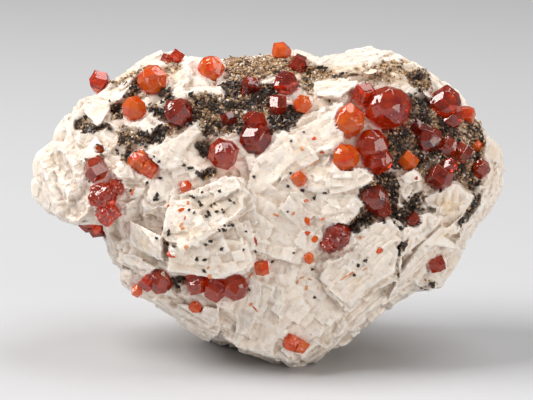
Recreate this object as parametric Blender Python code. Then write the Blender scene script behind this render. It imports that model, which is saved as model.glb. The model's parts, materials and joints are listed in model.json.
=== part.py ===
"""Garnet crystals on a block of white feldspar, standing on its foot. Metres, +Z up.

The block is one solid: a core with the outline seen from the front, cleavage slabs
on its faces, a foot, and a socket for each crystal. Each crystal, or each group of
crystals grown into one another, is a solid of its own that sits in its socket.
"""

import math
import random

import bmesh
import bpy
from mathutils import Vector
from mathutils.bvhtree import BVHTree
from mathutils.geometry import intersect_line_plane
from mathutils.noise import noise

MM = 0.001

# The view that the layout is sighted from
PHOTO_CENTRE = (266.5, 200.0)  # pixels
PIXEL = 0.25 * MM  # real size of a pixel at the middle of the block
VIEW_DISTANCE = 750 * MM
VIEW_ELEVATION = math.radians(12)
VIEW_AIM = Vector((0, -16 * MM, 40.9 * MM))  # the point seen at the centre of the photo

RIGHT = Vector((1, 0, 0))
AHEAD = Vector((0, math.cos(VIEW_ELEVATION), -math.sin(VIEW_ELEVATION)))
UPWARD = Vector((0, math.sin(VIEW_ELEVATION), math.cos(VIEW_ELEVATION)))

# The core of the block
CORE_CENTRE = (268, 208)  # pixels
RING_SHARES = (-0.92, -0.72, -0.42, 0, 0.42, 0.75, 0.95)
FRONT_DEPTH = -16 * MM
BACK_DEPTH = 44 * MM
RIM_DEPTH = 9 * MM
RIM_DEPTH_SWING = 8 * MM  # the top edge lies this much further back, the bottom this much nearer
FRONT_ROUNDNESS = 2.3  # 2 is an ellipsoid, more is boxier
BACK_ROUNDNESS = 2.7
LUMP_HEIGHT = 0.9 * MM
LUMP_SIZE = 14 * MM
FLAT_ENOUGH = math.radians(1)  # faces of the block that meet at less are made one

SOCKET_GAP = 0.3 * MM
SLAB_THICKNESS = 11 * MM

# The edge of the block as it is seen, in pixels, clockwise from its left end
OUTLINE = [
    (34, 190), (36, 156), (56, 143), (56, 134), (68, 117), (82, 102), (93, 95),
    (104, 84), (136, 60), (153, 50), (166, 54), (190, 57), (228, 59), (272, 54),
    (292, 51), (310, 52), (315, 59), (340, 54), (374, 49), (388, 54), (411, 58),
    (428, 71), (445, 85), (462, 97), (476, 119), (489, 136), (500, 148), (502, 173),
    (499, 190), (489, 207), (479, 221), (472, 235), (459, 252), (449, 272),
    (438, 289), (418, 289), (401, 299), (384, 309), (370, 323), (353, 337),
    (333, 348), (312, 360), (292, 367), (278, 364), (268, 357), (248, 352),
    (234, 343), (217, 338), (200, 341), (184, 326), (170, 311), (146, 299),
    (129, 289), (121, 279), (121, 268), (112, 258), (104, 241), (100, 222),
    (82, 221), (68, 222), (51, 211), (37, 200),
]

# Faces where the back broke away: direction out of the block, distance in mm from its middle
BREAKS = [
    ((0.10, 1.00, 0.06), 24.0),
    ((0.80, 0.62, 0.15), 49.4),
    ((-0.78, 0.62, 0.22), 48.4),
    ((0.35, 0.62, 0.75), 45.6),
    ((-0.45, 0.60, 0.72), 46.3),
    ((0.70, 0.60, -0.55), 36.0),
    ((-0.62, 0.60, -0.56), 37.0),
]

# Cleavage slabs on the front: corners in pixels, how proud the middle of the face stands
# in mm, and how far the face turns to the right and upwards in degrees
FRONT_SLABS = {
    "left_lobe": ([(37, 165), (58, 147), (84, 161), (97, 178), (99, 203), (84, 219),
                   (66, 220), (46, 208), (36, 192)], 0.5, (-34, 2)),
    "left_shoulder": ([(58, 138), (70, 117), (92, 98), (112, 112), (106, 131),
                       (88, 148), (68, 147)], 0.8, (-30, 22)),
    "left_ridge": ([(95, 97), (106, 85), (136, 62), (153, 52), (165, 56), (150, 70),
                    (122, 90), (106, 106)], 0.6, (-30, 42)),
    "left_ridge_inner": ([(108, 110), (124, 91), (158, 66), (166, 78), (150, 96),
                          (124, 112)], 0.2, (-22, 30)),
    "left_plate": ([(68, 144), (80, 134), (99, 131), (96, 148), (84, 163), (67, 153)],
                   2.0, (-24, 12)),
    "left_small_plate": ([(102, 160), (108, 148), (131, 145), (123, 159), (113, 167)],
                         1.2, (-12, 14)),
    "long_plate": ([(143, 153), (166, 139), (196, 122), (202, 138), (190, 156),
                    (171, 168), (150, 161)], 1.2, (-6, 20)),
    "waist_plate": ([(111, 172), (131, 164), (152, 176), (142, 190), (114, 188)],
                    1.0, (-14, 6)),
    "cream_block": ([(159, 222), (175, 196), (205, 186), (219, 178), (235, 177),
                     (243, 183), (242, 194), (235, 217), (219, 228), (204, 240),
                     (179, 249), (166, 239)], 4.2, (-16, 10)),
    "lower_block": ([(168, 251), (186, 249), (208, 240), (233, 226), (242, 242),
                     (250, 253), (254, 263), (244, 271), (218, 280), (204, 277),
                     (166, 272)], 3.6, (-10, -6)),
    "lower_left_step": ([(117, 246), (127, 226), (143, 238), (150, 254), (122, 251)],
                        1.6, (-28, 2)),
    "lower_left_ledge": ([(116, 253), (122, 250), (150, 262), (164, 272), (149, 275),
                          (131, 269), (117, 260)], 2.2, (-24, -4)),
    "under_ledge": ([(122, 267), (140, 276), (152, 290), (168, 292), (207, 300),
                     (212, 307), (168, 309), (149, 302), (129, 288), (121, 279)],
                    0.8, (-20, -18)),
    "glassy_face": ([(168, 309), (210, 308), (220, 317), (219, 337), (200, 340),
                     (188, 331), (173, 319)], 0.3, (-24, -30)),
    "centre_plate": ([(262, 150), (290, 128), (320, 108), (345, 100), (348, 130),
                      (334, 150), (318, 165), (290, 183), (267, 182), (258, 192),
                      (248, 187), (252, 165)], 1.6, (-2, 12)),
    "centre_face": ([(236, 215), (250, 188), (290, 182), (330, 170), (362, 194),
                     (366, 207), (345, 226), (322, 238), (316, 256), (296, 264),
                     (272, 256), (249, 248)], 1.0, (4, -3)),
    "centre_flake": ([(305, 204), (320, 198), (354, 193), (366, 206), (344, 225),
                      (330, 231), (316, 223)], 2.0, (2, 2)),
    "upper_flake": ([(315, 182), (321, 173), (353, 170), (365, 166), (375, 176),
                     (374, 184), (354, 190), (322, 189)], 2.4, (0, 16)),
    "right_block": ([(323, 265), (342, 254), (348, 235), (364, 224), (395, 221),
                     (401, 235), (396, 243), (399, 252), (398, 275), (380, 286),
                     (344, 313), (337, 306), (330, 291), (325, 275)], 3.2, (8, -12)),
    "right_plate": ([(402, 254), (407, 231), (420, 215), (435, 210), (445, 224),
                     (439, 234), (424, 247)], 2.0, (16, -4)),
    "right_cream_plate": ([(425, 201), (437, 192), (457, 184), (470, 194), (474, 200),
                           (460, 215), (453, 226), (442, 219), (437, 210)],
                          2.4, (22, 6)),
    "grey_flake": ([(397, 185), (410, 170), (422, 171), (424, 181), (412, 195),
                    (398, 210)], 1.6, (4, 10)),
    "right_strip": ([(386, 300), (392, 285), (402, 262), (425, 250), (445, 232),
                     (456, 228), (450, 245), (430, 262), (412, 284)], 1.2, (24, -20)),
    "right_tail": ([(419, 287), (430, 272), (444, 258), (451, 262), (438, 287),
                    (427, 289)], 2.2, (30, -14)),
    "rim_upper": ([(446, 87), (461, 98), (475, 120), (484, 146), (470, 128),
                   (456, 108)], 1.6, (40, 16)),
    "rim_lower": ([(489, 138), (499, 149), (501, 173), (498, 190), (478, 220),
                   (458, 250), (464, 228), (480, 200), (486, 176), (484, 152)],
                  1.8, (44, -4)),
    "top_slab": ([(314, 68), (340, 57), (372, 51), (388, 56), (384, 64), (345, 76),
                  (322, 86)], 1.4, (2, 46)),
    "tan_slab": ([(356, 84), (360, 76), (389, 64), (402, 60), (415, 60), (421, 67),
                  (428, 78), (418, 90), (400, 86), (375, 82)], 1.2, (14, 36)),
    "top_white": ([(318, 108), (318, 95), (345, 78), (356, 84), (352, 98),
                   (335, 106)], 1.0, (0, 24)),
    "top_chip": ([(290, 54), (309, 53), (313, 60), (300, 66), (292, 63)], 1.4, (4, 40)),
    "keel_left": ([(222, 318), (250, 300), (282, 305), (284, 340), (276, 358),
                   (250, 350), (226, 338)], 0.8, (-14, -26)),
    "keel_right": ([(288, 312), (322, 300), (340, 318), (330, 344), (300, 360),
                    (286, 352)], 0.8, (12, -24)),
}

# Slabs on the back, sighted through the block in the same pixels
BACK_SLABS = {
    "back_centre": ([(230, 130), (300, 116), (330, 160), (318, 226), (250, 240),
                     (214, 190)], 2.0, (-4, 6)),
    "back_right": ([(345, 120), (410, 130), (430, 190), (390, 240), (340, 220)],
                   2.4, (18, 2)),
    "back_left": ([(112, 122), (182, 103), (206, 152), (187, 204), (122, 199)],
                  1.8, (-18, 6)),
    "back_low": ([(200, 240), (290, 236), (320, 290), (280, 325), (220, 310)],
                 1.8, (2, -14)),
    "back_top": ([(230, 74), (330, 70), (350, 104), (290, 118), (226, 112)],
                 1.6, (2, 30)),
}

# The foot under the middle: corners on the ground in mm, right of and behind the origin
FOOT_CORNERS = [(-4, -12), (10, -13), (20, 1), (17, 15), (2, 19), (-14, 15), (-16, 1)]
FOOT_HEIGHT = 24 * MM
FOOT_FLARE = 1.25  # how much wider it is where it joins the core

# Crystals
FACE_SPREAD = 0.05  # how unevenly the faces grew
TRAPEZOHEDRON_START = 1.02  # where its faces lie, next to those of the dodecahedron
SEEN_TO_FACE = 1.09  # half the width seen, over the distance from the centre to a face
MIDDLING_CRYSTAL = 6.0 * MM  # wider ones are trapezohedra, the others dodecahedra
LARGE_CRYSTAL = 7.9 * MM  # wider ones show both forms
USUAL_PROUD = 0.35  # the centre's height over the surface, in half widths

# Each entry is one crystal: pixels across and down, width in mm, and for one that hangs
# past the edge, the depth in mm that it lies at. The first one gives a group its depth.
FRONT_GARNETS = {
    "garnet_left_brow": ("red", [(99.5, 82, 5.2, 13)]),
    "garnet_left_dome": ("orange", [(152, 80.5, 7.4)]),
    "garnet_left_flat": ("orange", [(134, 109, 6.1)]),
    "garnet_left_dark": ("dark", [(178.5, 111.5, 7.2)]),
    "garnet_top_left_pair": ("red", [(167, 60, 3.1), (176.5, 57, 3.3)]),
    "garnet_upper_pair": ("orange", [(211, 69, 6.6), (213, 88, 4.6)]),
    "garnet_band_plum": ("dark", [(252, 86, 4.8), (244, 98, 3.6)]),
    "garnet_top_edge": ("orange", [(281.5, 52, 4.6)]),
    "garnet_band_upper": ("dark", [(299, 65, 4.8)]),
    "garnet_band_sparkler": ("dark", [(286, 84, 6.2)]),
    "garnet_band_plum_low": ("dark", [(278, 105, 4.8)]),
    "garnet_band_orange": ("orange", [(302, 104.5, 4.6)]),
    "garnet_band_bead": ("dark", [(228.5, 119, 3.5)]),
    "garnet_band_large": ("dark", [(255, 121, 5.2), (256, 139, 8.5)]),
    "garnet_band_foot": ("red", [(223.5, 154, 7.2)]),
    "garnet_waist_red": ("red", [(96, 169, 5.6)]),
    "garnet_waist_rough": ("orange", [(140, 161, 5.0), (148, 168, 4.8)]),
    "garnet_cream_bead": ("orange", [(185.5, 187, 2.8)]),
    "garnet_left_group": ("red", [(103, 196, 6.8), (107, 213, 5.4), (116, 187, 3.8)]),
    "garnet_left_under": ("red", [(90, 222, 5.2, 8), (97, 229, 4.6),
                                  (111, 234, 4.0)]),
    "garnet_seam_left": ("red", [(160, 281, 6.2), (147, 283, 3.8)]),
    "garnet_seam_chain": ("red", [(215, 289, 5.6), (197, 283, 5.4), (235.5, 287, 6.6),
                                  (211, 279, 3.4)]),
    "garnet_centre_stub": ("orange", [(262, 268, 3.7)]),
    "garnet_low_left_chip": ("orange", [(196, 307, 3.2)]),
    "garnet_low_left_edge": ("orange", [(137, 291, 2.8)]),
    "garnet_centre_bead": ("orange", [(299, 179, 3.6)]),
    "garnet_centre_rough": ("dark", [(338, 236, 6.2), (331, 244, 4.4)]),
    "garnet_centre_shard": ("orange", [(309, 258, 2.6)]),
    "garnet_keel": ("orange", [(292, 343, 4.2), (300, 346, 3.6)]),
    "garnet_giant": ("red", [(388, 108, 11.4), (364, 94, 5.6)]),
    "garnet_giant_left": ("orange", [(350, 121, 8.0)]),
    "garnet_right_deep": ("red", [(372, 145, 7.8), (378, 160, 7.0)]),
    "garnet_right_orange": ("orange", [(346, 158, 6.6)]),
    "garnet_far_right": ("red", [(446, 104, 8.4), (452, 118, 5.4)]),
    "garnet_far_right_small": ("orange", [(466, 115, 4.6)]),
    "garnet_right_dark": ("dark", [(430, 139, 6.6), (418, 127, 3.4)]),
    "garnet_right_twins": ("red", [(448, 147, 4.9), (463, 152, 4.5)]),
    "garnet_right_stub": ("orange", [(409, 161, 4.4)]),
    "garnet_right_low": ("dark", [(440, 177, 6.0), (450, 165, 3.6)]),
    "garnet_rim_right": ("red", [(481, 169, 4.4)]),
    "garnet_rim_bead": ("orange", [(478, 146, 2.6)]),
    "garnet_pocket": ("dark", [(375, 198, 6.8), (382, 209, 4.2)]),
    "garnet_brown_bead": ("dark", [(414, 220, 3.5)]),
    "garnet_low_right": ("red", [(437, 264, 4.0)]),
    "garnet_left_bead": ("orange", [(99, 149, 2.4)]),
    "garnet_left_fleck": ("orange", [(163, 239, 2.4)]),
}
BACK_GARNETS = {
    "garnet_back_left": ("red", [(150, 130, 5.6), (160, 141, 3.8)]),
    "garnet_back_centre": ("orange", [(262, 168, 4.4)]),
    "garnet_back_right": ("red", [(372, 150, 6.2)]),
    "garnet_back_top": ("dark", [(318, 92, 4.8)]),
    "garnet_back_bead": ("orange", [(404, 214, 3.2)]),
}
# Crystals that grew against an older one, which leaves its shape in them
GREW_AGAINST = {
    "garnet_giant_left": "garnet_giant",
    "garnet_right_orange": "garnet_right_deep",
    "garnet_right_deep": "garnet_giant",
    "garnet_band_foot": "garnet_band_large",
    "garnet_far_right_small": "garnet_far_right",
    "garnet_right_twins": "garnet_right_dark",
    "garnet_right_low": "garnet_right_twins",
    "garnet_band_large": "garnet_band_plum_low",
}

FINISHES = {
    "feldspar": ((0.83, 0.78, 0.71), 0.75),
    "red": ((0.48, 0.03, 0.02), 0.12),
    "orange": ((0.74, 0.13, 0.03), 0.15),
    "dark": ((0.16, 0.02, 0.03), 0.15),
}


def sighted(u, v, depth):
    """The place seen at pixel (u, v), at this depth behind the point aimed at."""
    across = (u - PHOTO_CENTRE[0]) * PIXEL
    above = (PHOTO_CENTRE[1] - v) * PIXEL
    spread = 1 + depth / VIEW_DISTANCE
    return VIEW_AIM + (RIGHT * across + UPWARD * above) * spread + AHEAD * depth


def sight_line(u, v):
    """A point well in front of the block and one well behind it, on the line seen at a pixel."""
    return sighted(u, v, -200 * MM), sighted(u, v, 200 * MM)


def finish(obj, name):
    """Gives the object its plain material."""
    material = bpy.data.materials.get(name) or bpy.data.materials.new(name)
    colour, roughness = FINISHES[name]
    material.use_nodes = True
    shader = material.node_tree.nodes["Principled BSDF"]
    shader.inputs["Base Color"].default_value = (*colour, 1)
    shader.inputs["Roughness"].default_value = roughness
    obj.data.materials.clear()
    obj.data.materials.append(material)


def place(name, bm, collection):
    """A new object holding the bmesh, which is freed."""
    bmesh.ops.recalc_face_normals(bm, faces=bm.faces)
    mesh = bpy.data.meshes.new(name)
    bm.to_mesh(mesh)
    bm.free()
    obj = bpy.data.objects.new(name, mesh)
    collection.objects.link(obj)
    return obj


def hide(obj):
    """Marks a cutter or a piece to be joined, which is not itself part of the specimen."""
    obj.hide_render = True
    obj.display_type = "WIRE"


def combine(obj, operation, collection=None, other=None):
    """Joins or cuts the object with a whole collection or one object, and keeps the result."""
    modifier = obj.modifiers.new(operation.title(), "BOOLEAN")
    modifier.operation = operation
    modifier.solver = "EXACT"
    if other is None:
        modifier.operand_type = "COLLECTION"
        modifier.collection = collection
    else:
        modifier.object = other
    graph = bpy.context.evaluated_depsgraph_get()
    result = bpy.data.meshes.new_from_object(obj.evaluated_get(graph))
    obj.modifiers.clear()
    obj.data = result


def keep_largest_body(obj):
    """Drops crumbs that a cut has left loose."""
    bm = bmesh.new()
    bm.from_mesh(obj.data)
    bmesh.ops.remove_doubles(bm, verts=bm.verts, dist=0.002 * MM)
    left = set(bm.faces)
    bodies = []
    while left:
        body = [left.pop()]
        for face in body:
            for edge in face.edges:
                for near in edge.link_faces:
                    if near in left:
                        left.remove(near)
                        body.append(near)
        bodies.append(body)
    bodies.sort(key=len, reverse=True)
    crumbs = [face for body in bodies[1:] for face in body]
    bmesh.ops.delete(bm, geom=crumbs, context="FACES")
    bmesh.ops.dissolve_limit(bm, verts=bm.verts, edges=bm.edges, angle_limit=FLAT_ENOUGH)
    bm.to_mesh(obj.data)
    bm.free()


def cut_flat(bm, point, normal):
    """Cuts away what lies outside the plane, and closes the cut."""
    geometry = bm.verts[:] + bm.edges[:] + bm.faces[:]
    bmesh.ops.bisect_plane(bm, geom=geometry, dist=1e-7, plane_co=point, plane_no=normal,
                           clear_outer=True)
    bmesh.ops.holes_fill(bm, edges=[edge for edge in bm.edges if edge.is_boundary])


def ring_of_core(bm, share):
    """One ring of the core. The share runs from -1 at the front, over 0 at the rim, to 1 at the back."""
    pole, roundness = (BACK_DEPTH, BACK_ROUNDNESS) if share > 0 else (FRONT_DEPTH, FRONT_ROUNDNESS)
    size = (1 - abs(share) ** roundness) ** (1 / roundness)
    ring = []
    for corner in OUTLINE:
        u, v = (CORE_CENTRE[i] + (corner[i] - CORE_CENTRE[i]) * size for i in (0, 1))
        height = (CORE_CENTRE[1] - corner[1]) / 160
        rim = RIM_DEPTH + RIM_DEPTH_SWING * height
        at = sighted(u, v, rim * (1 - abs(share)) + pole * abs(share))
        ring.append(bm.verts.new(at + AHEAD * LUMP_HEIGHT * noise(at / LUMP_SIZE)))
    return ring


def core_of_block(collection):
    """Rings of the outline's shape, fuller at the back, which is broken flat."""
    bm = bmesh.new()
    rings = [ring_of_core(bm, share) for share in RING_SHARES]
    for ring, following in zip(rings, rings[1:]):
        for i in range(len(ring)):
            bm.faces.new((ring[i - 1], ring[i], following[i], following[i - 1]))
    for ring, pole in ((rings[0], FRONT_DEPTH), (rings[-1], BACK_DEPTH)):
        middle = bm.verts.new(sighted(*CORE_CENTRE, pole))
        for i in range(len(ring)):
            bm.faces.new((ring[i - 1], ring[i], middle))
    bmesh.ops.recalc_face_normals(bm, faces=bm.faces)
    bmesh.ops.triangulate(bm, faces=bm.faces)
    middle = sighted(*CORE_CENTRE, (FRONT_DEPTH + BACK_DEPTH) / 2)
    for direction, distance in BREAKS:
        normal = Vector(direction).normalized()
        cut_flat(bm, middle + normal * distance * MM, normal)
    return place("matrix", bm, collection)


def surface_tree(obj):
    return BVHTree.FromObject(obj, bpy.context.evaluated_depsgraph_get())


def first_hit(tree, u, v, from_back=False):
    """Where the line seen at a pixel meets the surface. If it passes by, the nearest point."""
    start, end = sight_line(u, v)
    if from_back:
        start, end = end, start
    hit = tree.ray_cast(start, (end - start).normalized())[0]
    return hit or tree.find_nearest(sighted(u, v, RIM_DEPTH))[0]


def slab(name, tree, corners, proud, lean, collection, from_back=False):
    """A cleavage slab whose face shows these corners. It reaches into the block behind it."""
    outward = AHEAD if from_back else -AHEAD
    turn_right, turn_up = (math.tan(math.radians(angle)) for angle in lean)
    normal = (outward + RIGHT * turn_right + UPWARD * turn_up).normalized()
    u = sum(corner[0] for corner in corners) / len(corners)
    v = sum(corner[1] for corner in corners) / len(corners)
    middle = first_hit(tree, u, v, from_back) + outward * proud * MM
    bm = bmesh.new()
    face = bm.faces.new([bm.verts.new(intersect_line_plane(*sight_line(*corner), middle, normal))
                         for corner in corners])
    pushed = bmesh.ops.extrude_face_region(bm, geom=[face])["geom"]
    moved = [item for item in pushed if isinstance(item, bmesh.types.BMVert)]
    bmesh.ops.translate(bm, verts=moved, vec=-normal * SLAB_THICKNESS)
    hide(place(name, bm, collection))


def foot(collection):
    """The foot that the block stands on, wider where it joins the core."""
    bm = bmesh.new()
    corners = [Vector((x * MM, y * MM, -2 * MM)) for x, y in FOOT_CORNERS]
    centre = sum(corners, Vector()) / len(corners)
    face = bm.faces.new([bm.verts.new(corner) for corner in corners])
    pushed = bmesh.ops.extrude_face_region(bm, geom=[face])["geom"]
    top = [item for item in pushed if isinstance(item, bmesh.types.BMVert)]
    for vertex in top:
        vertex.co = centre + (vertex.co - centre) * FOOT_FLARE + Vector((0, 0, FOOT_HEIGHT))
    hide(place("foot", bm, collection))


def form(*indices):
    """All the face directions of a crystal form, such as (1, 1, 0) for the dodecahedron."""
    found = set()
    for order in ((0, 1, 2), (0, 2, 1), (1, 0, 2), (1, 2, 0), (2, 0, 1), (2, 1, 0)):
        for signs in range(8):
            found.add(tuple(indices[i] * (-1 if signs >> place & 1 else 1)
                            for place, i in enumerate(order)))
    return [Vector(direction).normalized() for direction in sorted(found)]


DODECAHEDRON = form(1, 1, 0)
TRAPEZOHEDRON = form(2, 1, 1)


def crystal(name, centre, width, collection, swell=0.0):
    """A garnet crystal: flat faces of one or two forms, each grown a little differently."""
    chance = random.Random(name)
    face_distance = width / 2 / SEEN_TO_FACE
    faces = []
    if width > MIDDLING_CRYSTAL:
        faces += [(direction, TRAPEZOHEDRON_START) for direction in TRAPEZOHEDRON]
    if width <= MIDDLING_CRYSTAL or width > LARGE_CRYSTAL:
        faces += [(direction, 1) for direction in DODECAHEDRON]
    bm = bmesh.new()
    bmesh.ops.create_cube(bm, size=width * 1.6)
    for direction, start in faces:
        grown = face_distance * start * (1 + chance.uniform(-FACE_SPREAD, FACE_SPREAD))
        cut_flat(bm, direction * (grown + swell), direction)
    obj = place(name, bm, collection)
    obj.location = centre
    obj.rotation_euler = [chance.uniform(0, 2 * math.pi) for _ in range(3)]
    return obj


def depth_of(point):
    return (point - VIEW_AIM).dot(AHEAD)


def first_depth(tree, entry, from_back):
    """How deep a crystal's centre lies, a little in front of the surface that it grows on."""
    u, v, width, *given = entry
    if given:
        return given[0] * MM
    proud = USUAL_PROUD * width / 2 * MM
    return depth_of(first_hit(tree, u, v, from_back)) + (proud if from_back else -proud)


def grow(name, colour, entries, tree, from_back, specimen, grown_together):
    """One crystal, or several grown into one another. Returns what its sockets are made from."""
    depth = first_depth(tree, entries[0], from_back)
    seeds = []
    for number, (u, v, width, *_) in enumerate(entries):
        seeds.append((f"{name}_{number}", sighted(u, v, depth), width * MM))
    garnet = crystal(*seeds[0], specimen)
    garnet.name = name
    for seed in seeds[1:]:
        other = crystal(*seed, grown_together)
        hide(other)
        combine(garnet, "UNION", other=other)
    finish(garnet, colour)
    return seeds


def cut_sockets(seeds, sockets):
    """The cutters that leave room for a crystal."""
    cutters = []
    for name, centre, width in seeds:
        cutter = crystal(name, centre, width, sockets, swell=SOCKET_GAP)
        cutter.name = f"socket_{name}"
        hide(cutter)
        cutters.append(cutter)
    return cutters


def stand_on_ground(obj):
    """Cuts the block off flat at the height of the ground."""
    bm = bmesh.new()
    bm.from_mesh(obj.data)
    cut_flat(bm, Vector(), Vector((0, 0, -1)))
    bm.to_mesh(obj.data)
    bm.free()


def build():
    for old in list(bpy.data.objects):
        bpy.data.objects.remove(old)
    specimen = bpy.data.collections.new("garnet_on_matrix")
    joined, sockets, grown_together = (bpy.data.collections.new(name)
                                       for name in ("slabs", "sockets", "crystals"))
    for collection in (specimen, joined, sockets, grown_together):
        bpy.context.scene.collection.children.link(collection)

    matrix = core_of_block(specimen)
    tree = surface_tree(matrix)
    for name, (corners, proud, lean) in FRONT_SLABS.items():
        slab(name, tree, corners, proud, lean, joined)
    for name, (corners, proud, lean) in BACK_SLABS.items():
        slab(name, tree, corners, proud, lean, joined, from_back=True)
    foot(joined)
    combine(matrix, "UNION", collection=joined)
    stand_on_ground(matrix)

    tree = surface_tree(matrix)
    socket_of = {}
    for garnets, from_back in ((FRONT_GARNETS, False), (BACK_GARNETS, True)):
        for name, (colour, entries) in garnets.items():
            seeds = grow(name, colour, entries, tree, from_back, specimen, grown_together)
            socket_of[name] = cut_sockets(seeds, sockets)
    for name, older in GREW_AGAINST.items():
        for cutter in socket_of[older]:
            combine(bpy.data.objects[name], "DIFFERENCE", other=cutter)
    combine(matrix, "DIFFERENCE", collection=sockets)
    keep_largest_body(matrix)
    finish(matrix, "feldspar")


build()
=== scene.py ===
"""Garnets on feldspar: the finished surface of every piece, on a pale floor in soft light."""

import json
import math
import random

import bmesh
import bpy
import numpy as np
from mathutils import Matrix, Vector
from mathutils.bvhtree import BVHTree
from mathutils.noise import noise, noise_vector, random_unit_vector, seed_set


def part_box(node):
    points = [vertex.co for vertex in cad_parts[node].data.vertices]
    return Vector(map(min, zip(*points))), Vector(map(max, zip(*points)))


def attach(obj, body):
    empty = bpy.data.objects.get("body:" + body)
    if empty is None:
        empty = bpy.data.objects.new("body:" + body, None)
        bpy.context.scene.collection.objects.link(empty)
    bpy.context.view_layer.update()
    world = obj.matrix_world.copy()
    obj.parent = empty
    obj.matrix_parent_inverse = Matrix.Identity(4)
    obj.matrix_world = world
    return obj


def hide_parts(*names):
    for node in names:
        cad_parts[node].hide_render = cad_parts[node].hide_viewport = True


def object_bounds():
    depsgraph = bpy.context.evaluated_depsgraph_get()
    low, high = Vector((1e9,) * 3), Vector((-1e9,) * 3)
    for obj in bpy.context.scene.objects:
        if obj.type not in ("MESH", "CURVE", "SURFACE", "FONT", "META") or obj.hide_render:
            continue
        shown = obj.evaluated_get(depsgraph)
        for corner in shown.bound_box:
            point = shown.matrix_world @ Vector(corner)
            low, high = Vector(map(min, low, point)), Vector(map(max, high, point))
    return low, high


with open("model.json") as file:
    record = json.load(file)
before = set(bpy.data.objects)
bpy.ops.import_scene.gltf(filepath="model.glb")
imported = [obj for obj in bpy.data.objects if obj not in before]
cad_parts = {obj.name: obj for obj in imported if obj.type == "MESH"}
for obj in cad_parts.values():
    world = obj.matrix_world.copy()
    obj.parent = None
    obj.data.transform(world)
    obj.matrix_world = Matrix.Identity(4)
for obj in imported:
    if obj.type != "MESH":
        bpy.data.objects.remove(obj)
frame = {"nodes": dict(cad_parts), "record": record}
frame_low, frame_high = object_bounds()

MM = 0.001

# The view that the layout is sighted from, which is also the camera's
PHOTO_CENTRE = (266.5, 200.0)  # pixels
PIXEL = 0.25 * MM  # real size of a pixel at the middle of the block
VIEW_DISTANCE = 750 * MM
VIEW_ELEVATION = math.radians(12)
VIEW_AIM = Vector((0, -16 * MM, 40.9 * MM))
PHOTO_WIDTH = 533

RIGHT = Vector((1, 0, 0))
AHEAD = Vector((0, math.cos(VIEW_ELEVATION), -math.sin(VIEW_ELEVATION)))
UPWARD = Vector((0, math.sin(VIEW_ELEVATION), math.cos(VIEW_ELEVATION)))

VOXEL = 0.36 * MM
MATRIX_TRIANGLES = 190000

# Feldspar individuals, each with its own cleavage: pixels of the middle, the direction of
# its edges in degrees from the horizontal, and the length and width of its flakes in mm
DOMAINS = {
    "left_lobe": (67, 188, 30, 3.8, 2.8),
    "left_shoulder": (84, 128, 42, 5.0, 3.2),
    "left_ridge": (125, 77, 40, 7.0, 2.0),
    "left_ridge_inner": (137, 92, 40, 5.0, 1.8),
    "left_plate": (82, 147, 35, 5.0, 3.5),
    "left_small_plate": (117, 155, 30, 4.0, 2.5),
    "long_plate": (172, 146, 38, 6.5, 3.2),
    "waist_plate": (131, 178, 20, 3.5, 2.4),
    "neck": (190, 172, 10, 3.0, 2.2),
    "cream_block": (203, 212, 32, 4.5, 3.4),
    "lower_block": (222, 254, 22, 5.0, 3.0),
    "lower_left_step": (132, 240, -14, 4.5, 3.0),
    "lower_left_ledge": (135, 263, -18, 4.5, 2.0),
    "under_ledge": (160, 298, -10, 5.0, 2.6),
    "glassy_face": (196, 324, 60, 5.0, 3.0),
    "centre_plate": (292, 158, 36, 5.0, 3.0),
    "centre_face": (292, 218, -28, 6.0, 4.4),
    "centre_low": (330, 212, -32, 4.0, 2.6),
    "upper_flake": (345, 180, 8, 5.0, 2.4),
    "right_block": (362, 262, 52, 3.4, 2.4),
    "right_block_top": (372, 234, 24, 4.0, 2.4),
    "right_plate": (422, 232, 44, 4.5, 3.0),
    "right_cream_plate": (450, 204, -36, 5.0, 3.6),
    "grey_flake": (411, 186, 48, 3.5, 2.6),
    "right_strip": (418, 262, 42, 9.0, 1.3),
    "right_strip_low": (385, 300, 40, 9.0, 1.2),
    "right_tail": (436, 276, 48, 4.0, 2.6),
    "rim_upper": (464, 112, 58, 5.0, 1.8),
    "rim_middle": (492, 160, 70, 4.5, 1.8),
    "rim_lower": (470, 222, 58, 6.0, 1.6),
    "top_slab": (350, 66, 12, 7.0, 2.2),
    "tan_slab": (400, 74, 14, 5.0, 2.6),
    "top_white": (336, 95, 20, 5.0, 3.0),
    "top_left": (190, 75, 20, 4.0, 2.6),
    "keel_left": (252, 328, 66, 5.0, 3.6),
    "keel_right": (312, 328, 50, 5.0, 3.4),
    "keel_middle": (282, 296, 78, 5.5, 3.6),
    "band": (250, 100, 15, 2.0, 1.6),
    "right_pocket": (430, 130, 30, 2.0, 1.6),
}
# The rest of the block, sighted from other sides: how many individuals, and their flakes
OTHER_DOMAINS = 46
OTHER_FLAKE = (3.0, 8.0)
DOMAIN_WARP = 2.2 * MM

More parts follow.
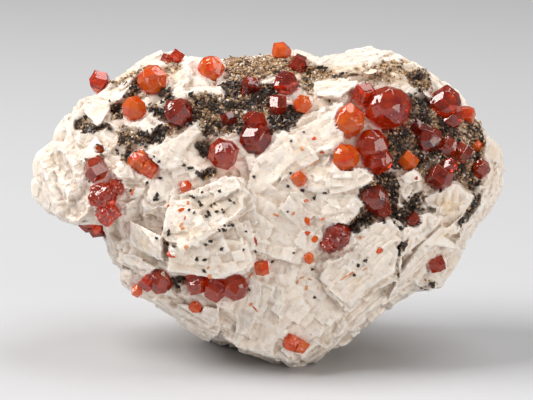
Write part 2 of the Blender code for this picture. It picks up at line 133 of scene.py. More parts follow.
# Crisp plates on the front: pixels of the corners, and how far each stands out in mm
PLATES = {
    "shoulder": ([(95, 92), (111, 101), (97, 123), (78, 109)], 0.28),
    "left_plate": ([(71, 142), (86, 131), (105, 146), (97, 149), (83, 164), (67, 151)], 0.55),
    "left_small_plate": ([(106, 147), (130, 145), (119, 162), (112, 168), (102, 161)], 0.44),
    "block": ([(142, 117), (156, 127), (150, 134), (136, 123)], 1.00),
    "block_below": ([(150, 115), (168, 123), (163, 129), (156, 125)], 0.44),
    "block_above": ([(159, 93), (165, 98), (158, 107), (151, 104)], 0.50),
    "block_beside": ([(150, 95), (155, 101), (148, 108), (142, 102)], 0.44),
    "long_plate": ([(166, 142), (196, 121), (199, 134), (182, 154), (170, 148)], 0.60),
    "long_plate_low": ([(144, 153), (164, 141), (183, 158), (174, 168), (160, 168)], 0.44),
    "ridge_slab": ([(106, 94), (133, 79), (132, 88), (110, 101)], 0.25),
    "top_left_slab": ([(110, 73), (130, 58), (152, 50), (168, 57), (146, 67), (114, 83)], 0.25),
    "waist_plate": ([(111, 170), (130, 165), (134, 178), (117, 178)], 0.39),
    "neck_plate": ([(191, 158), (206, 155), (212, 165), (197, 175)], 0.70),
    "neck_low": ([(172, 171), (182, 168), (189, 178), (175, 182)], 0.44),
    "neck_small": ([(160, 176), (168, 174), (170, 180), (164, 184)], 0.39),
    "lower_block": ([(168, 252), (218, 239), (242, 243), (255, 263), (249, 271), (217, 280),
                     (204, 276), (167, 272)], 0.60),
    "left_step": ([(116, 245), (126, 229), (144, 243), (146, 260)], 0.15),
    "left_ledge": ([(115, 252), (130, 255), (152, 267), (149, 274), (122, 265)], 0.30),
    "under_ledge": ([(122, 268), (143, 278), (144, 292), (168, 308), (148, 303), (126, 286)], 0.20),
    "glassy_face": ([(170, 309), (218, 308), (218, 338), (200, 340), (189, 331)], 0.00),
    "centre_plate": ([(257, 157), (289, 144), (294, 153), (288, 165), (275, 181), (258, 192),
                      (248, 187), (251, 169)], 0.55),
    "centre_plate_right": ([(294, 152), (311, 148), (319, 158), (292, 173), (279, 183)], 0.39),
    "upper_plate": ([(309, 164), (334, 155), (341, 169), (332, 173), (321, 168)], 0.44),
    "upper_flake": ([(315, 180), (330, 174), (359, 167), (374, 175), (372, 184), (350, 189),
                     (320, 187)], 0.65),
    "centre_right": ([(322, 201), (353, 194), (365, 206), (345, 226), (328, 222)], 0.50),
    "centre_face": ([(249, 232), (271, 221), (297, 229), (320, 236), (317, 247), (293, 264),
                     (273, 257), (248, 248)], 0.65),
    "right_block_top": ([(353, 231), (390, 217), (399, 231), (394, 246), (350, 251)], 0.55),
    "right_block": ([(325, 266), (349, 252), (394, 242), (399, 252), (396, 275), (364, 293),
                     (352, 309), (330, 291)], 0.44),
    "right_chip": ([(400, 232), (407, 236), (396, 247)], 0.50),
    "right_plate": ([(420, 215), (434, 210), (445, 224), (424, 245), (401, 259), (408, 240),
                     (407, 229)], 0.50),
    "right_cream_plate": ([(424, 199), (455, 178), (463, 185), (474, 200), (461, 220),
                           (452, 226), (438, 217), (433, 209)], 0.65),
    "grey_flake": ([(402, 187), (421, 183), (421, 191), (400, 210), (397, 203)], 0.80),
    "grey_top": ([(399, 175), (415, 168), (424, 180), (405, 184)], 0.50),
    "right_strip": ([(424, 246), (446, 228), (455, 237), (444, 254), (406, 272)], 0.25),
    "right_strip_low": ([(400, 276), (440, 250), (429, 266), (388, 306)], 0.20),
    "rim_top": ([(485, 137), (495, 139), (501, 149), (500, 163), (486, 158)], 0.33),
    "rim_middle": ([(499, 165), (502, 174), (495, 193), (484, 208), (480, 195), (488, 180)], 0.33),
    "rim_low": ([(483, 210), (473, 229), (463, 242), (457, 236), (465, 218)], 0.33),
    "rim_tail": ([(463, 243), (459, 250), (453, 259), (446, 255), (455, 241)], 0.33),
    "rim_crest": ([(428, 80), (434, 75), (448, 84), (456, 94), (436, 89)], 0.30),
    "crest_lump": ([(408, 89), (415, 90), (414, 95), (408, 94)], 0.44),
    "crest_lump_right": ([(418, 89), (427, 90), (427, 97), (420, 97)], 0.44),
    "top_slab": ([(341, 58), (357, 54), (374, 50), (388, 55), (391, 61), (353, 62)], 0.25),
    "top_peak": ([(292, 51), (310, 52), (314, 61), (300, 59)], 0.20),
    "tan_slab": ([(310, 82), (352, 74), (372, 68), (366, 80), (338, 90), (316, 90)], 0.20),
}
PLATE_DEPTH = 3.0 * MM
MOST_PLATE_TILT = 0.62  # smallest share of a plate's face that is turned to the viewer

FLAKES = 1300
FLAKE_THICKNESS = (0.8, 2.0)  # mm
MOST_FLAKE_OVERHANG = 1.2 * MM
MOST_PLATE_OVERHANG = 1.3 * MM

# Patches of crust on the front: corners in pixels, share of black grains, thickness of cover
CRUST = {
    "spur": ([(74, 121), (84, 117), (92, 123), (100, 126), (97, 132), (86, 133), (76, 131)], 0.7, 0.9),
    "spur_tail": ([(99, 123), (112, 125), (112, 129), (99, 129)], 0.9, 0.9),
    "left_clump": ([(107, 104), (113, 101), (121, 106), (122, 118), (112, 119), (110, 110)], 0.85, 1),
    "brow_left": ([(126, 96), (130, 84), (137, 82), (140, 90), (132, 97)], 0.9, 1),
    "brow_foot": ([(138, 92), (151, 94), (150, 100), (139, 100)], 0.35, 0.8),
    "brow_right": ([(154, 92), (165, 86), (173, 96), (171, 104), (164, 99)], 0.9, 1),
    "between": ([(150, 104), (160, 106), (168, 112), (167, 122), (156, 119)], 0.85, 1),
    "block_shadow": ([(132, 125), (150, 134), (160, 124), (169, 128), (166, 139), (152, 143),
                      (138, 136)], 0.92, 1),
    "sand_left": ([(120, 128), (134, 126), (152, 143), (146, 150), (130, 151), (118, 144)], 0.4, 0.8),
    "sand_clump": ([(117, 134), (130, 135), (134, 146), (122, 145)], 0.9, 1),
    "sand_tail": ([(131, 144), (136, 147), (124, 161), (120, 159)], 0.85, 0.9),
    "sand_right": ([(160, 126), (176, 123), (177, 134), (164, 140)], 0.12, 0.9),
    "under_dark": ([(163, 104), (168, 124), (180, 128), (194, 122), (196, 100), (188, 96)], 0.75, 0.9),
    "band_west": ([(188, 95), (206, 92), (222, 96), (224, 110), (217, 132), (202, 137),
                   (200, 122), (192, 118)], 0.62, 1),
    "black_band": ([(222, 84), (246, 79), (262, 84), (275, 84), (277, 96), (266, 111),
                    (250, 113), (238, 109), (224, 109)], 0.88, 1),
    "band_low": ([(217, 109), (240, 107), (247, 116), (240, 133), (222, 135), (213, 128)], 0.66, 1),
    "band_tan": ([(256, 104), (268, 95), (277, 104), (268, 117), (257, 117)], 0.1, 1),
    "band_east": ([(266, 110), (292, 106), (302, 114), (288, 129), (272, 132)], 0.9, 1),
    "tan_top": ([(225, 61), (234, 56), (250, 58), (268, 56), (288, 56), (301, 61), (300, 75),
                 (284, 75), (268, 77), (252, 83), (234, 84), (226, 78)], 0.12, 1),
    "top_black": ([(231, 60), (246, 59), (249, 68), (235, 69)], 0.85, 1),
    "top_brown": ([(250, 61), (263, 61), (263, 69), (250, 69)], 0.6, 1),
    "tan_east": ([(299, 61), (318, 66), (337, 73), (330, 81), (316, 84), (307, 93), (298, 86)], 0.4, 0.9),
    "east_line": ([(322, 72), (340, 74), (354, 73), (357, 79), (344, 80), (324, 78)], 0.8, 0.9),
    "tan_ridge": ([(352, 67), (366, 64), (384, 64), (400, 60), (412, 64), (403, 82), (380, 83),
                   (362, 83)], 0.08, 0.55),
    "ridge_grains": ([(402, 70), (412, 69), (428, 71), (431, 87), (420, 91), (407, 85)], 0.55, 1),
    "pocket_bed": ([(408, 95), (436, 98), (466, 116), (480, 124), (486, 150), (482, 170),
                    (474, 189), (452, 187), (440, 191), (424, 187), (414, 170), (396, 168),
                    (388, 150), (384, 128), (400, 120)], 0.5, 0.85),
    "pocket_top": ([(410, 96), (432, 98), (436, 122), (424, 127), (411, 120)], 0.7, 1),
    "pocket_west": ([(383, 124), (396, 122), (411, 126), (412, 140), (404, 150), (400, 170),
                     (389, 170), (388, 152)], 0.7, 1),
    "pocket_middle": ([(432, 112), (444, 118), (457, 126), (456, 141), (444, 141)], 0.92, 1),
    "pocket_east": ([(466, 124), (478, 122), (487, 140), (484, 158), (474, 162), (466, 150)], 0.6, 1),
    "pocket_low": ([(452, 160), (470, 157), (481, 170), (476, 185), (462, 183), (452, 185)], 0.65, 1),
    "pocket_foot": ([(362, 188), (378, 172), (396, 172), (400, 190), (397, 204), (413, 214),
                     (404, 223), (380, 214), (368, 227), (350, 231), (346, 225), (362, 212)], 0.78, 1),
    "foot_east": ([(402, 203), (421, 191), (426, 198), (414, 214), (404, 212)], 0.7, 0.9),
    "right_gap": ([(397, 247), (408, 239), (404, 252), (398, 263)], 0.95, 1),
    "rim_gap": ([(475, 196), (480, 194), (480, 204), (470, 214), (461, 226), (457, 223)], 0.8, 0.9),
    "band_foot": ([(195, 142), (208, 139), (215, 150), (210, 158), (198, 154)], 0.92, 1),
    "neck_foot": ([(198, 172), (210, 164), (219, 168), (214, 178), (202, 180)], 0.92, 1),
    "overhang": ([(172, 277), (188, 276), (189, 284), (180, 287), (172, 284)], 0.9, 0.9),
    "right_under": ([(419, 279), (431, 272), (436, 277), (430, 288), (422, 288)], 0.55, 0.3),
    "left_under": ([(84, 160), (91, 158), (90, 176), (93, 182), (87, 180)], 0.9, 0.9),
    "groove": ([(110, 83), (124, 72), (140, 64), (147, 66), (134, 77), (116, 87)], 0.2, 0.7),
    "top_pair_foot": ([(164, 60), (181, 62), (181, 70), (168, 76), (165, 66)], 0.15, 0.6),
}
CRUST_EDGE = 2.5  # pixels over which the crust thins out
BARE_EDGE = 1.5  # pixels over which the crust stops at the edge of a plate

# Dark cracks on the front: pixels along each, and half of its width in pixels
CRACKS = {
    "ridge_line": ([(341, 78), (355, 74), (366, 70), (377, 66), (391, 61)], 1.0),
    "centre_right_foot": ([(376, 216), (364, 221), (354, 226), (346, 228)], 2.2),
    "right_gap_tail": ([(398, 260), (397, 268), (399, 280)], 0.8),
    "grey_flake_foot": ([(423, 190), (413, 200), (403, 210), (398, 212)], 1.1),
    "cream_plate_foot": ([(434, 210), (425, 208), (415, 212)], 1.0),
    "rim_seam": ([(483, 190), (478, 200), (470, 213), (461, 224)], 0.9),
    "ledge_foot": ([(123, 267), (130, 270), (137, 273)], 0.7),
}
CRACK_DEPTH = 0.7 * MM

# Clumps of black specks on the front: pixels of the middle, and their half width in pixels
SPECKS = (
    (65, 134, 1.4), (67, 137, 1.2), (83, 142, 1.2), (91, 136, 1.2), (93, 138, 0.9), (96, 151, 1.6),
    (121, 148, 0.9), (116, 143, 0.9), (103, 138, 0.8), (156, 156, 1.1), (168, 157, 1.5), (162, 160, 1.0),
    (127, 169, 1.3), (106, 178, 1.1), (126, 181, 0.8), (128, 187, 1.1), (119, 192, 1.5), (119, 200, 2.2),
    (120, 83, 0.9), (124, 100, 0.8), (132, 208, 0.8), (87, 192, 1.2), (84, 188, 0.8), (170, 195, 1.6),
    (165, 195, 1.0), (177, 189, 0.9), (186, 190, 2.6), (176, 203, 0.8), (179, 208, 1.7), (178, 206, 1.2),
    (172, 217, 0.8), (186, 221, 1.5), (188, 217, 1.6), (192, 219, 1.6), (198, 217, 1.3), (207, 214, 0.9),
    (210, 217, 0.8), (199, 205, 0.7), (203, 188, 1.3), (193, 204, 0.7), (218, 201, 1.2), (224, 204, 0.7),
    (163, 213, 0.7), (128, 238, 1.0), (136, 243, 1.8), (138, 245, 1.2), (121, 251, 1.1), (128, 257, 0.7),
    (134, 259, 1.7), (143, 263, 1.7), (185, 254, 2.1), (186, 258, 1.6), (191, 256, 1.5), (205, 264, 1.5),
    (220, 233, 1.6), (221, 235, 1.0), (234, 232, 0.9), (208, 239, 1.7), (211, 242, 1.5), (203, 242, 1.1),
    (235, 267, 0.6), (251, 269, 0.8), (242, 241, 0.8), (224, 305, 1.1), (180, 294, 1.9), (183, 294, 1.5),
    (176, 280, 1.9), (186, 280, 1.7), (292, 150, 0.9), (296, 149, 0.7), (300, 163, 0.6), (313, 179, 0.7),
    (316, 187, 1.5), (330, 197, 0.9), (343, 191, 1.3), (292, 183, 0.8), (295, 215, 0.6), (299, 240, 0.5),
    (354, 180, 1.6), (367, 231, 1.1), (422, 228, 1.3), (422, 231, 1.2), (436, 231, 1.8), (442, 237, 1.9),
    (444, 240, 1.6), (448, 239, 1.0), (450, 230, 0.9), (456, 196, 1.2), (443, 203, 0.7), (450, 207, 0.7),
    (453, 215, 0.7), (428, 202, 0.7), (443, 193, 0.6), (329, 294, 1.0), (330, 332, 1.0), (400, 281, 1.3),
    (391, 288, 1.1), (388, 290, 1.0), (384, 301, 1.0), (251, 168, 1.0), (242, 231, 0.8), (302, 122, 0.8),
    (314, 108, 0.6), (272, 282, 0.6), (303, 272, 0.5), (384, 84, 0.8), (352, 69, 0.8), (376, 78, 0.7),
    (386, 79, 0.6), (395, 64, 1.1), (214, 234, 0.6), (228, 330, 0.6), (245, 320, 0.5),
)

# Bits of garnet set flush in the feldspar: pixels of the middle, length and width in pixels,
# slope in degrees, and which garnet it is
SHARDS = {
    "waist": (135, 209, 6, 5, 20, "garnet_orange"),
    "waist_low": (153, 213, 7, 4, 20, "garnet_orange"),
    "waist_high": (162, 204, 4, 4, 60, "garnet_pale"),
    "fold": (158, 224, 4, 2, 70, "garnet_orange"),
    "fold_pale": (153, 233, 6, 3, 60, "garnet_pale"),
    "fold_low": (155, 238, 5, 3, 10, "garnet_pale"),
    "brow_patch": (179, 87, 6, 3, 10, "garnet_pale"),
    "brow_line": (174, 83, 5, 2, 15, "garnet_orange"),
    "top_patch": (182, 65, 5, 2, 0, "garnet_orange"),
    "shoulder_line": (100, 111, 4, 2, 40, "garnet_pale"),
    "ledge": (160, 263, 5, 4, 60, "garnet_pale"),
    "seam_wedge": (140, 275, 10, 4, -35, "garnet_orange"),
    "seam_low": (191, 302, 5, 5, 40, "garnet_pale"),
    "seam_spot": (189, 290, 4, 3, 30, "garnet_pale"),
    "seam_right": (246, 299, 8, 3, 65, "garnet_pale"),
    "keel_line": (251, 346, 8, 2, -50, "garnet_orange"),
    "keel_patch": (246, 340, 5, 3, 40, "garnet_pale"),
    "sliver": (252, 255, 9, 3, -70, "garnet_red"),
    "face_shard": (279, 220, 6, 3, -30, "garnet_pale"),
    "face_pale": (302, 218, 4, 3, 60, "garnet_pale"),
    "flake_red": (320, 201, 6, 3, 5, "garnet_orange"),
    "plate_shard": (314, 131, 6, 4, -50, "garnet_pale"),
    "giant_chip": (330, 118, 5, 4, 20, "garnet_orange"),
    "giant_low": (340, 136, 7, 3, -20, "garnet_orange"),
    "orange_edge": (331, 150, 12, 5, -15, "garnet_pale"),
    "rough_tip": (321, 228, 9, 6, -55, "garnet_orange"),
    "rough_left": (321, 245, 8, 5, 10, "garnet_orange"),
    "rough_foot": (331, 252, 7, 6, 60, "garnet_orange"),
    "rough_pink": (341, 256, 5, 4, 60, "garnet_pale"),
    "rough_top": (342, 225, 5, 3, 40, "garnet_pale"),
    "strip": (417, 268, 8, 6, 50, "garnet_orange"),
    "block_spot": (392, 250, 4, 3, 60, "garnet_pale"),
    "streak": (380, 298, 9, 2, 35, "garnet_pale"),
    "streak_low": (370, 304, 10, 1.6, 32, "garnet_pale"),
    "streak_right": (397, 293, 6, 2, 30, "garnet_pale"),
    "keel_spot": (314, 304, 6, 2, 15, "garnet_pale"),
    "keel_dash": (324, 306, 5, 2, -15, "garnet_pale"),
    "keel_drop": (320, 318, 6, 3, 80, "garnet_pale"),
    "keel_side": (308, 310, 6, 2, 75, "garnet_pale"),
    "pocket_bit": (426, 97, 4, 3, 60, "garnet_orange"),
    "pocket_chip": (415, 143, 6, 6, 40, "garnet_red"),
    "pocket_edge": (478, 146, 5, 4, 60, "garnet_red"),
    "pocket_low": (467, 171, 4, 3, 50, "garnet_red"),
    "top_chip": (256, 59, 9, 5, 10, "garnet_orange"),
    "top_bit": (239, 58, 4, 3, 40, "garnet_pale"),
    "left_edge": (88, 187, 6, 3, 70, "garnet_orange"),
}

# Stains on the feldspar: pixels of the middle, half width and half height in pixels, strength
STAINS = {
    "cream_middle": (210, 207, 16, 8, 0.9),
    "cream_low": (188, 232, 18, 9, 0.5),
    "lower_block": (185, 262, 20, 10, 0.4),
    "left_slope": (92, 108, 16, 12, 0.4),
    "left_lobe": (52, 160, 12, 12, 0.5),
    "groove": (126, 75, 18, 5, 1.0),
    "top_left": (172, 72, 12, 12, 0.7),
    "top_slab": (345, 72, 40, 8, 0.6),
    "tan_ridge": (392, 74, 26, 10, 1.0),
    "crest": (412, 62, 12, 6, 0.8),
    "plate_edge": (300, 146, 14, 8, 0.5),
    "plate_line": (302, 172, 26, 5, 0.4),
    "right_cream": (452, 204, 16, 12, 0.8),
    "right_low": (446, 230, 12, 8, 0.6),
    "rim": (496, 150, 8, 12, 0.6),
    "rim_low": (488, 176, 8, 10, 0.4),
    "right_block": (392, 240, 8, 10, 0.5),
    "block_edge": (356, 284, 10, 10, 0.4),
    "left_step": (142, 246, 8, 8, 0.5),
}
# Greyer, glassier parts of the front: pixels of the middle, half width and half height
GLASSY = {
    "centre": (290, 215, 55, 40),
    "centre_left": (248, 205, 14, 30),
    "keel": (215, 322, 32, 22),
    "grey_flake": (411, 186, 15, 22),
    "waist": (140, 205, 18, 28),
    "band_ledge": (222, 135, 20, 6),
    "long_plate": (160, 142, 10, 6),
}


def sighted(u, v, depth):
    """The place seen at pixel (u, v), at this depth behind the point aimed at."""
    across = (u - PHOTO_CENTRE[0]) * PIXEL
    above = (PHOTO_CENTRE[1] - v) * PIXEL
    spread = 1 + depth / VIEW_DISTANCE
    return VIEW_AIM + (RIGHT * across + UPWARD * above) * spread + AHEAD * depth


def pixels_of(points):
    """The pixels at which these points are seen, and their depths, as arrays."""
    away = points - np.array(VIEW_AIM)
    depth = away @ np.array(AHEAD)
    spread = PIXEL * (1 + depth / VIEW_DISTANCE)
    u = PHOTO_CENTRE[0] + away @ np.array(RIGHT) / spread
    v = PHOTO_CENTRE[1] - away @ np.array(UPWARD) / spread
    return u, v, depth


def first_seen(u, v, tree):
    """Where the line of sight through a pixel meets the surface, and the way it faces there."""
    hit, normal, _, _ = tree.ray_cast(sighted(u, v, -200 * MM), AHEAD)
    if hit is None:
        hit, normal, _, _ = tree.find_nearest(sighted(u, v, 0))
    return hit, normal


def smoothstep(low, high, value):
    share = np.clip((value - low) / (high - low), 0, 1)
    return share * share * (3 - 2 * share)


def scatter_value(*whole):
    """A number from 0 to 1 that is fixed for each set of whole numbers, as an array."""
    mixed = np.zeros(np.shape(whole[0]), np.uint64)
    for number, part in enumerate(whole):
        mixed ^= part.astype(np.int64).astype(np.uint64) * np.uint64(0x9E3779B97F4A7C15 + 2 * number)
        mixed ^= mixed >> np.uint64(29)
        mixed *= np.uint64(0xBF58476D1CE4E5B9)
        mixed ^= mixed >> np.uint64(32)
    return (mixed % np.uint64(1 << 24)).astype(float) / (1 << 24)


def points_of(mesh):
    points = np.empty(len(mesh.vertices) * 3, np.float32)
    mesh.vertices.foreach_get("co", points)
    return points.reshape(-1, 3).astype(float)


def normals_of(mesh):
    normals = np.empty(len(mesh.vertices) * 3, np.float32)
    mesh.vertices.foreach_get("normal", normals)
    return normals.reshape(-1, 3).astype(float)


def set_points(mesh, points):
    mesh.vertices.foreach_set("co", points.astype(np.float32).ravel())
    mesh.update()


def noise_at(points, size, offset=0.0):
    return np.array([noise(Vector(point) / size + Vector((offset, 0, 0))) for point in points])


def warp_at(points, size):
    return np.array([noise_vector(Vector(point) / size) for point in points])


def distance_to_line(u, v, corners):
    """Pixels from each point to a line of straight pieces."""
    nearest = np.full(u.shape, 1e9)
    for (au, av), (bu, bv) in zip(corners, corners[1:]):
        along = ((u - au) * (bu - au) + (v - av) * (bv - av)) / ((bu - au) ** 2 + (bv - av) ** 2)
        along = np.clip(along, 0, 1)
        nearest = np.minimum(nearest, np.hypot(u - au - along * (bu - au), v - av - along * (bv - av)))
    return nearest


def depth_inside(u, v, corners):
    """Pixels from each point to a closed outline, below zero outside it."""
    inside = np.zeros(u.shape, bool)
    for (au, av), (bu, bv) in zip(corners, corners[1:] + corners[:1]):
        if av != bv:
            crosses = (av > v) != (bv > v)
            inside ^= crosses & (u < (bu - au) * (v - av) / (bv - av) + au)
    nearest = distance_to_line(u, v, corners + corners[:1])
    return np.where(inside, nearest, -nearest)


def in_oval(u, v, oval):
    """From 1 in the middle of an upright oval to 0 at its edge."""
    mid_u, mid_v, half_u, half_v = oval
    return smoothstep(1, 0.2, np.hypot((u - mid_u) / half_u, (v - mid_v) / half_v))


def turned_to_viewer(normals):
    return smoothstep(-0.35, 0.05, -(normals @ np.array(AHEAD)))


def crust_at(points, normals):
    """How much crust covers each point, and the share of it that is black."""
    u, v, _ = pixels_of(points)
    blotch = noise_at(points, 2.2 * MM, 2.7)
    ragged_u = u + 2.6 * noise_at(points, 2.6 * MM) + 1.6 * blotch
    ragged_v = v + 2.6 * noise_at(points, 2.6 * MM, 7.3) - 1.6 * blotch
    cover = np.zeros(len(points))
    share = np.zeros(len(points))
    for corners, black, most in CRUST.values():
        here = most * smoothstep(-CRUST_EDGE, CRUST_EDGE, depth_inside(ragged_u, ragged_v, corners))
        share = np.where(here > cover, black, share)
        cover = np.maximum(cover, here)
    for corners, _ in PLATES.values():
        cover *= smoothstep(BARE_EDGE, -0.3, depth_inside(u, v, corners))
    holes = smoothstep(0.10, 0.35, noise_at(points, 3.1 * MM, 12.9) * (1.3 - cover))
    cover *= (1 - holes) * turned_to_viewer(normals)
    black = smoothstep(-0.18, 0.30, blotch + 1.3 * (share - 0.55))
    return cover, black


def cracks_at(points, normals):
    """How deep in a crack each point lies, from 0 to 1."""
    u, v, _ = pixels_of(points)
    u = u + 1.0 * noise_at(points, 1.8 * MM, 4.4)
    v = v + 1.0 * noise_at(points, 1.8 * MM, 8.8)
    broken = smoothstep(-0.45, -0.1, noise_at(points, 1.6 * MM, 21.0))
    deep = np.zeros(len(points))
    for corners, half_width in CRACKS.values():
        here = smoothstep(half_width + 1.5, half_width * 0.7, distance_to_line(u, v, corners))
        deep = np.maximum(deep, here)
    return deep * broken * turned_to_viewer(normals)


def copied_mesh(obj, name):
    mesh = obj.data.copy()
    mesh.name = name
    made = bpy.data.objects.new(name, mesh)
    bpy.context.scene.collection.objects.link(made)
    made.data.materials.clear()
    return made


def apply_modifiers(obj):
    graph = bpy.context.evaluated_depsgraph_get()
    result = bpy.data.meshes.new_from_object(obj.evaluated_get(graph))
    obj.modifiers.clear()
    old = obj.data
    obj.data = result
    bpy.data.meshes.remove(old)


def remesh(obj, size):
    modifier = obj.modifiers.new("Voxels", "REMESH")
    modifier.mode = "VOXEL"
    modifier.voxel_size = size
    apply_modifiers(obj)


def smooth(obj, times):
    modifier = obj.modifiers.new("Smooth", "SMOOTH")
    modifier.iterations = times
    apply_modifiers(obj)


def decimate(obj, triangles):
    obj.data.calc_loop_triangles()
    share = triangles / len(obj.data.loop_triangles)
    if share < 1:
        modifier = obj.modifiers.new("Decimate", "DECIMATE")
        modifier.ratio = share
        apply_modifiers(obj)


def tree_of(objects):
    """One search tree over several objects' meshes."""
    vertices, faces = [], []
    for obj in objects:
        first = len(vertices)
        vertices += [vertex.co.copy() for vertex in obj.data.vertices]
        faces += [[first + i for i in polygon.vertices] for polygon in obj.data.polygons]
    return BVHTree.FromPolygons(vertices, faces)


def cleavage_axes(normal, edge_angle):
    """Three directions at right angles: out of the face, along its edges and across them."""
    angle = math.radians(edge_angle)
    along = RIGHT * math.cos(angle) + UPWARD * math.sin(angle)
    along = (along - normal * along.dot(normal)).normalized()
    return np.array([normal, along, normal.cross(along)])


def lay_out_domains(tree):
    """Where each feldspar individual lies, its cleavage directions and the size of its flakes."""
    centres, axes, flakes = [], [], []
    for u, v, angle, length, width in DOMAINS.values():
        hit, normal = first_seen(u, v, tree)
        centres.append(hit)
        axes.append(cleavage_axes(normal, angle))
        flakes.append((length, width))
    chance = random.Random(4)
    middle = (frame_low + frame_high) / 2
    for _ in range(OTHER_DOMAINS):
        outward = Vector((chance.gauss(0, 1), abs(chance.gauss(0, 1)) + 0.1, chance.gauss(0, 1))).normalized()
        hit, normal, _, _ = tree.ray_cast(middle + outward * 0.2, -outward)
        if hit is None:
            continue
        centres.append(hit)
        axes.append(cleavage_axes(normal, chance.uniform(0, 180)))
        length = chance.uniform(*OTHER_FLAKE)
        flakes.append((length, length * chance.uniform(0.4, 0.7)))
    return np.array([tuple(centre) for centre in centres]), axes, flakes


def nearest_domain(points, centres):
    warped = points + DOMAIN_WARP * warp_at(points, 8 * MM)
    best = np.full(len(points), 1e9)
    which = np.zeros(len(points), int)
    for number, centre in enumerate(centres):
        distance = np.sum((warped - centre) ** 2, axis=1)
        closer = distance < best
        best[closer] = distance[closer]
        which[closer] = number
    return which


def prism(top, down):
    """The corners and faces of a solid with this outline on top and the same one lower down."""
    count = len(top)
    points = [tuple(point) for point in top] + [tuple(point + down) for point in top]
    sides = [(i, i + count, (i + 1) % count + count, (i + 1) % count) for i in range(count)]
    return points, [tuple(range(count)), tuple(reversed(range(count, 2 * count)))] + sides


def outside_by(point, tree):
    """How far this point lies outside the surface, less than zero inside it."""
    nearest, normal, _, distance = tree.find_nearest(point)
    return distance if (point - nearest).dot(normal) > 0 else -distance


def settled(point, tree, most):
    """The point, brought down until it lies no further outside the surface than this."""
    nearest, _, _, _ = tree.find_nearest(point)
    if outside_by(point, tree) <= most:
        return point
    return nearest + (point - nearest).normalized() * most


def named_plate(corners, lift, tree):
    """A plate laid on the block under its outline, as a prism."""
    mid = tuple(sum(values) / len(corners) for values in zip(*corners))
    sights = list(corners) + [((u + mid[0]) / 2, (v + mid[1]) / 2) for u, v in corners]
    hits = np.array([tuple(first_seen(u, v, tree)[0]) for u, v in sights])
    depths = (hits - np.array(VIEW_AIM)) @ np.array(AHEAD)
    hits = hits[np.abs(depths - np.median(depths)) < 2.5 * MM]
    middle = hits.mean(axis=0)
    normal = Vector(np.linalg.svd(hits - middle)[2][2])
    if normal.dot(AHEAD) > 0:
        normal = -normal
    while -normal.dot(AHEAD) < MOST_PLATE_TILT:
        normal = (normal - AHEAD * 0.1).normalized()
    middle = Vector(middle) + normal * lift * MM
    eye = VIEW_AIM - AHEAD * VIEW_DISTANCE
    top = []
    for u, v in reversed(corners):
        sight = (sighted(u, v, 0) - eye).normalized()
        point = eye + sight * ((middle - eye).dot(normal) / sight.dot(normal))
        top.append(settled(point, tree, MOST_PLATE_OVERHANG))
    return prism(top, -normal * PLATE_DEPTH)


def flake(place, out, along, across, length, width, thickness, lift, chance):
    """One cleavage flake on the block: a box with its corners knocked about."""
    top = []
    for side_along, side_across in ((1, 1), (-1, 1), (-1, -1), (1, -1)):
        corner = side_along * length / 2 * chance.uniform(0.82, 1.06) * along
        corner = corner + side_across * width / 2 * chance.uniform(0.82, 1.06) * across
        top.append(Vector(place + corner + out * (lift + chance.uniform(-0.05, 0.05) * MM)))
    return prism(top, Vector(-out * thickness))


def scattered_flakes(block, centres, axes, sizes, tree, garnets):
    """Many flakes over the whole block, each along the cleavage of its own individual."""
    places, normals = surface_samples(block, np.ones(len(block.data.vertices)), FLAKES, 17)
    which = nearest_domain(places, centres)
    cover, _ = crust_at(places, normals)
    room = distance_to_garnets(places, garnets, 5 * MM)
    chance = random.Random(8)
    made = []
    for place, normal, number, covered, free in zip(places, normals, which, cover, room):
        if covered > 0.5 and chance.random() < 0.7:
            continue
        facing = axes[number] @ normal
        k = int(np.abs(facing).argmax())
        out = axes[number][k] * np.sign(facing[k])
        along, across = axes[number][(k + 1) % 3], axes[number][(k + 2) % 3]
        if np.dot(np.cross(along, across), out) < 0:
            across = -across
        lean = np.array([chance.gauss(0, 0.03) for _ in range(3)])
        out = out + lean
        out /= np.linalg.norm(out)
        along = along - out * np.dot(along, out)
        across = np.cross(out, along)
        shrink = (0.5 if covered > 0.5 else 1) * MM
        length = sizes[number][0] * chance.uniform(0.4, 1.7) * shrink
        width = sizes[number][1] * chance.uniform(0.4, 1.7) * shrink
        lift = min(chance.uniform(-0.05, 0.45), 0.05 + 0.08 * width / MM) * MM + covered * 0.4 * MM
        solid = flake(place, out, along, across, length, width,
                      chance.uniform(*FLAKE_THICKNESS) * MM, lift, chance)
        highest = max(outside_by(Vector(point), tree) for point in solid[0])
        if highest < MOST_FLAKE_OVERHANG and free > 0.4 * length:
            made.append(solid)
    return made


def add_solids(obj, solids):
    """Joins separate solids to the object's mesh."""
    bm = bmesh.new()
    bm.from_mesh(obj.data)
    for points, faces in solids:
        corners = [bm.verts.new(point) for point in points]
        for face in faces:
            bm.faces.new([corners[i] for i in face])
    bm.to_mesh(obj.data)
    bm.free()


def keep_largest(obj):
    """Leaves only the body with the most points."""
    bm = bmesh.new()
    bm.from_mesh(obj.data)
    left = set(bm.verts)
    bodies = []
    while left:
        body, edge = set(), [left.pop()]
        while edge:
            vertex = edge.pop()
            body.add(vertex)
            fresh = [link.other_vert(vertex) for link in vertex.link_edges]
            fresh = [other for other in fresh if other in left]
            left.difference_update(fresh)
            edge.extend(fresh)
        bodies.append(body)
    bodies.sort(key=len)
    for body in bodies[:-1]:
        bmesh.ops.delete(bm, geom=list(body), context="VERTS")
    bm.to_mesh(obj.data)
    bm.free()


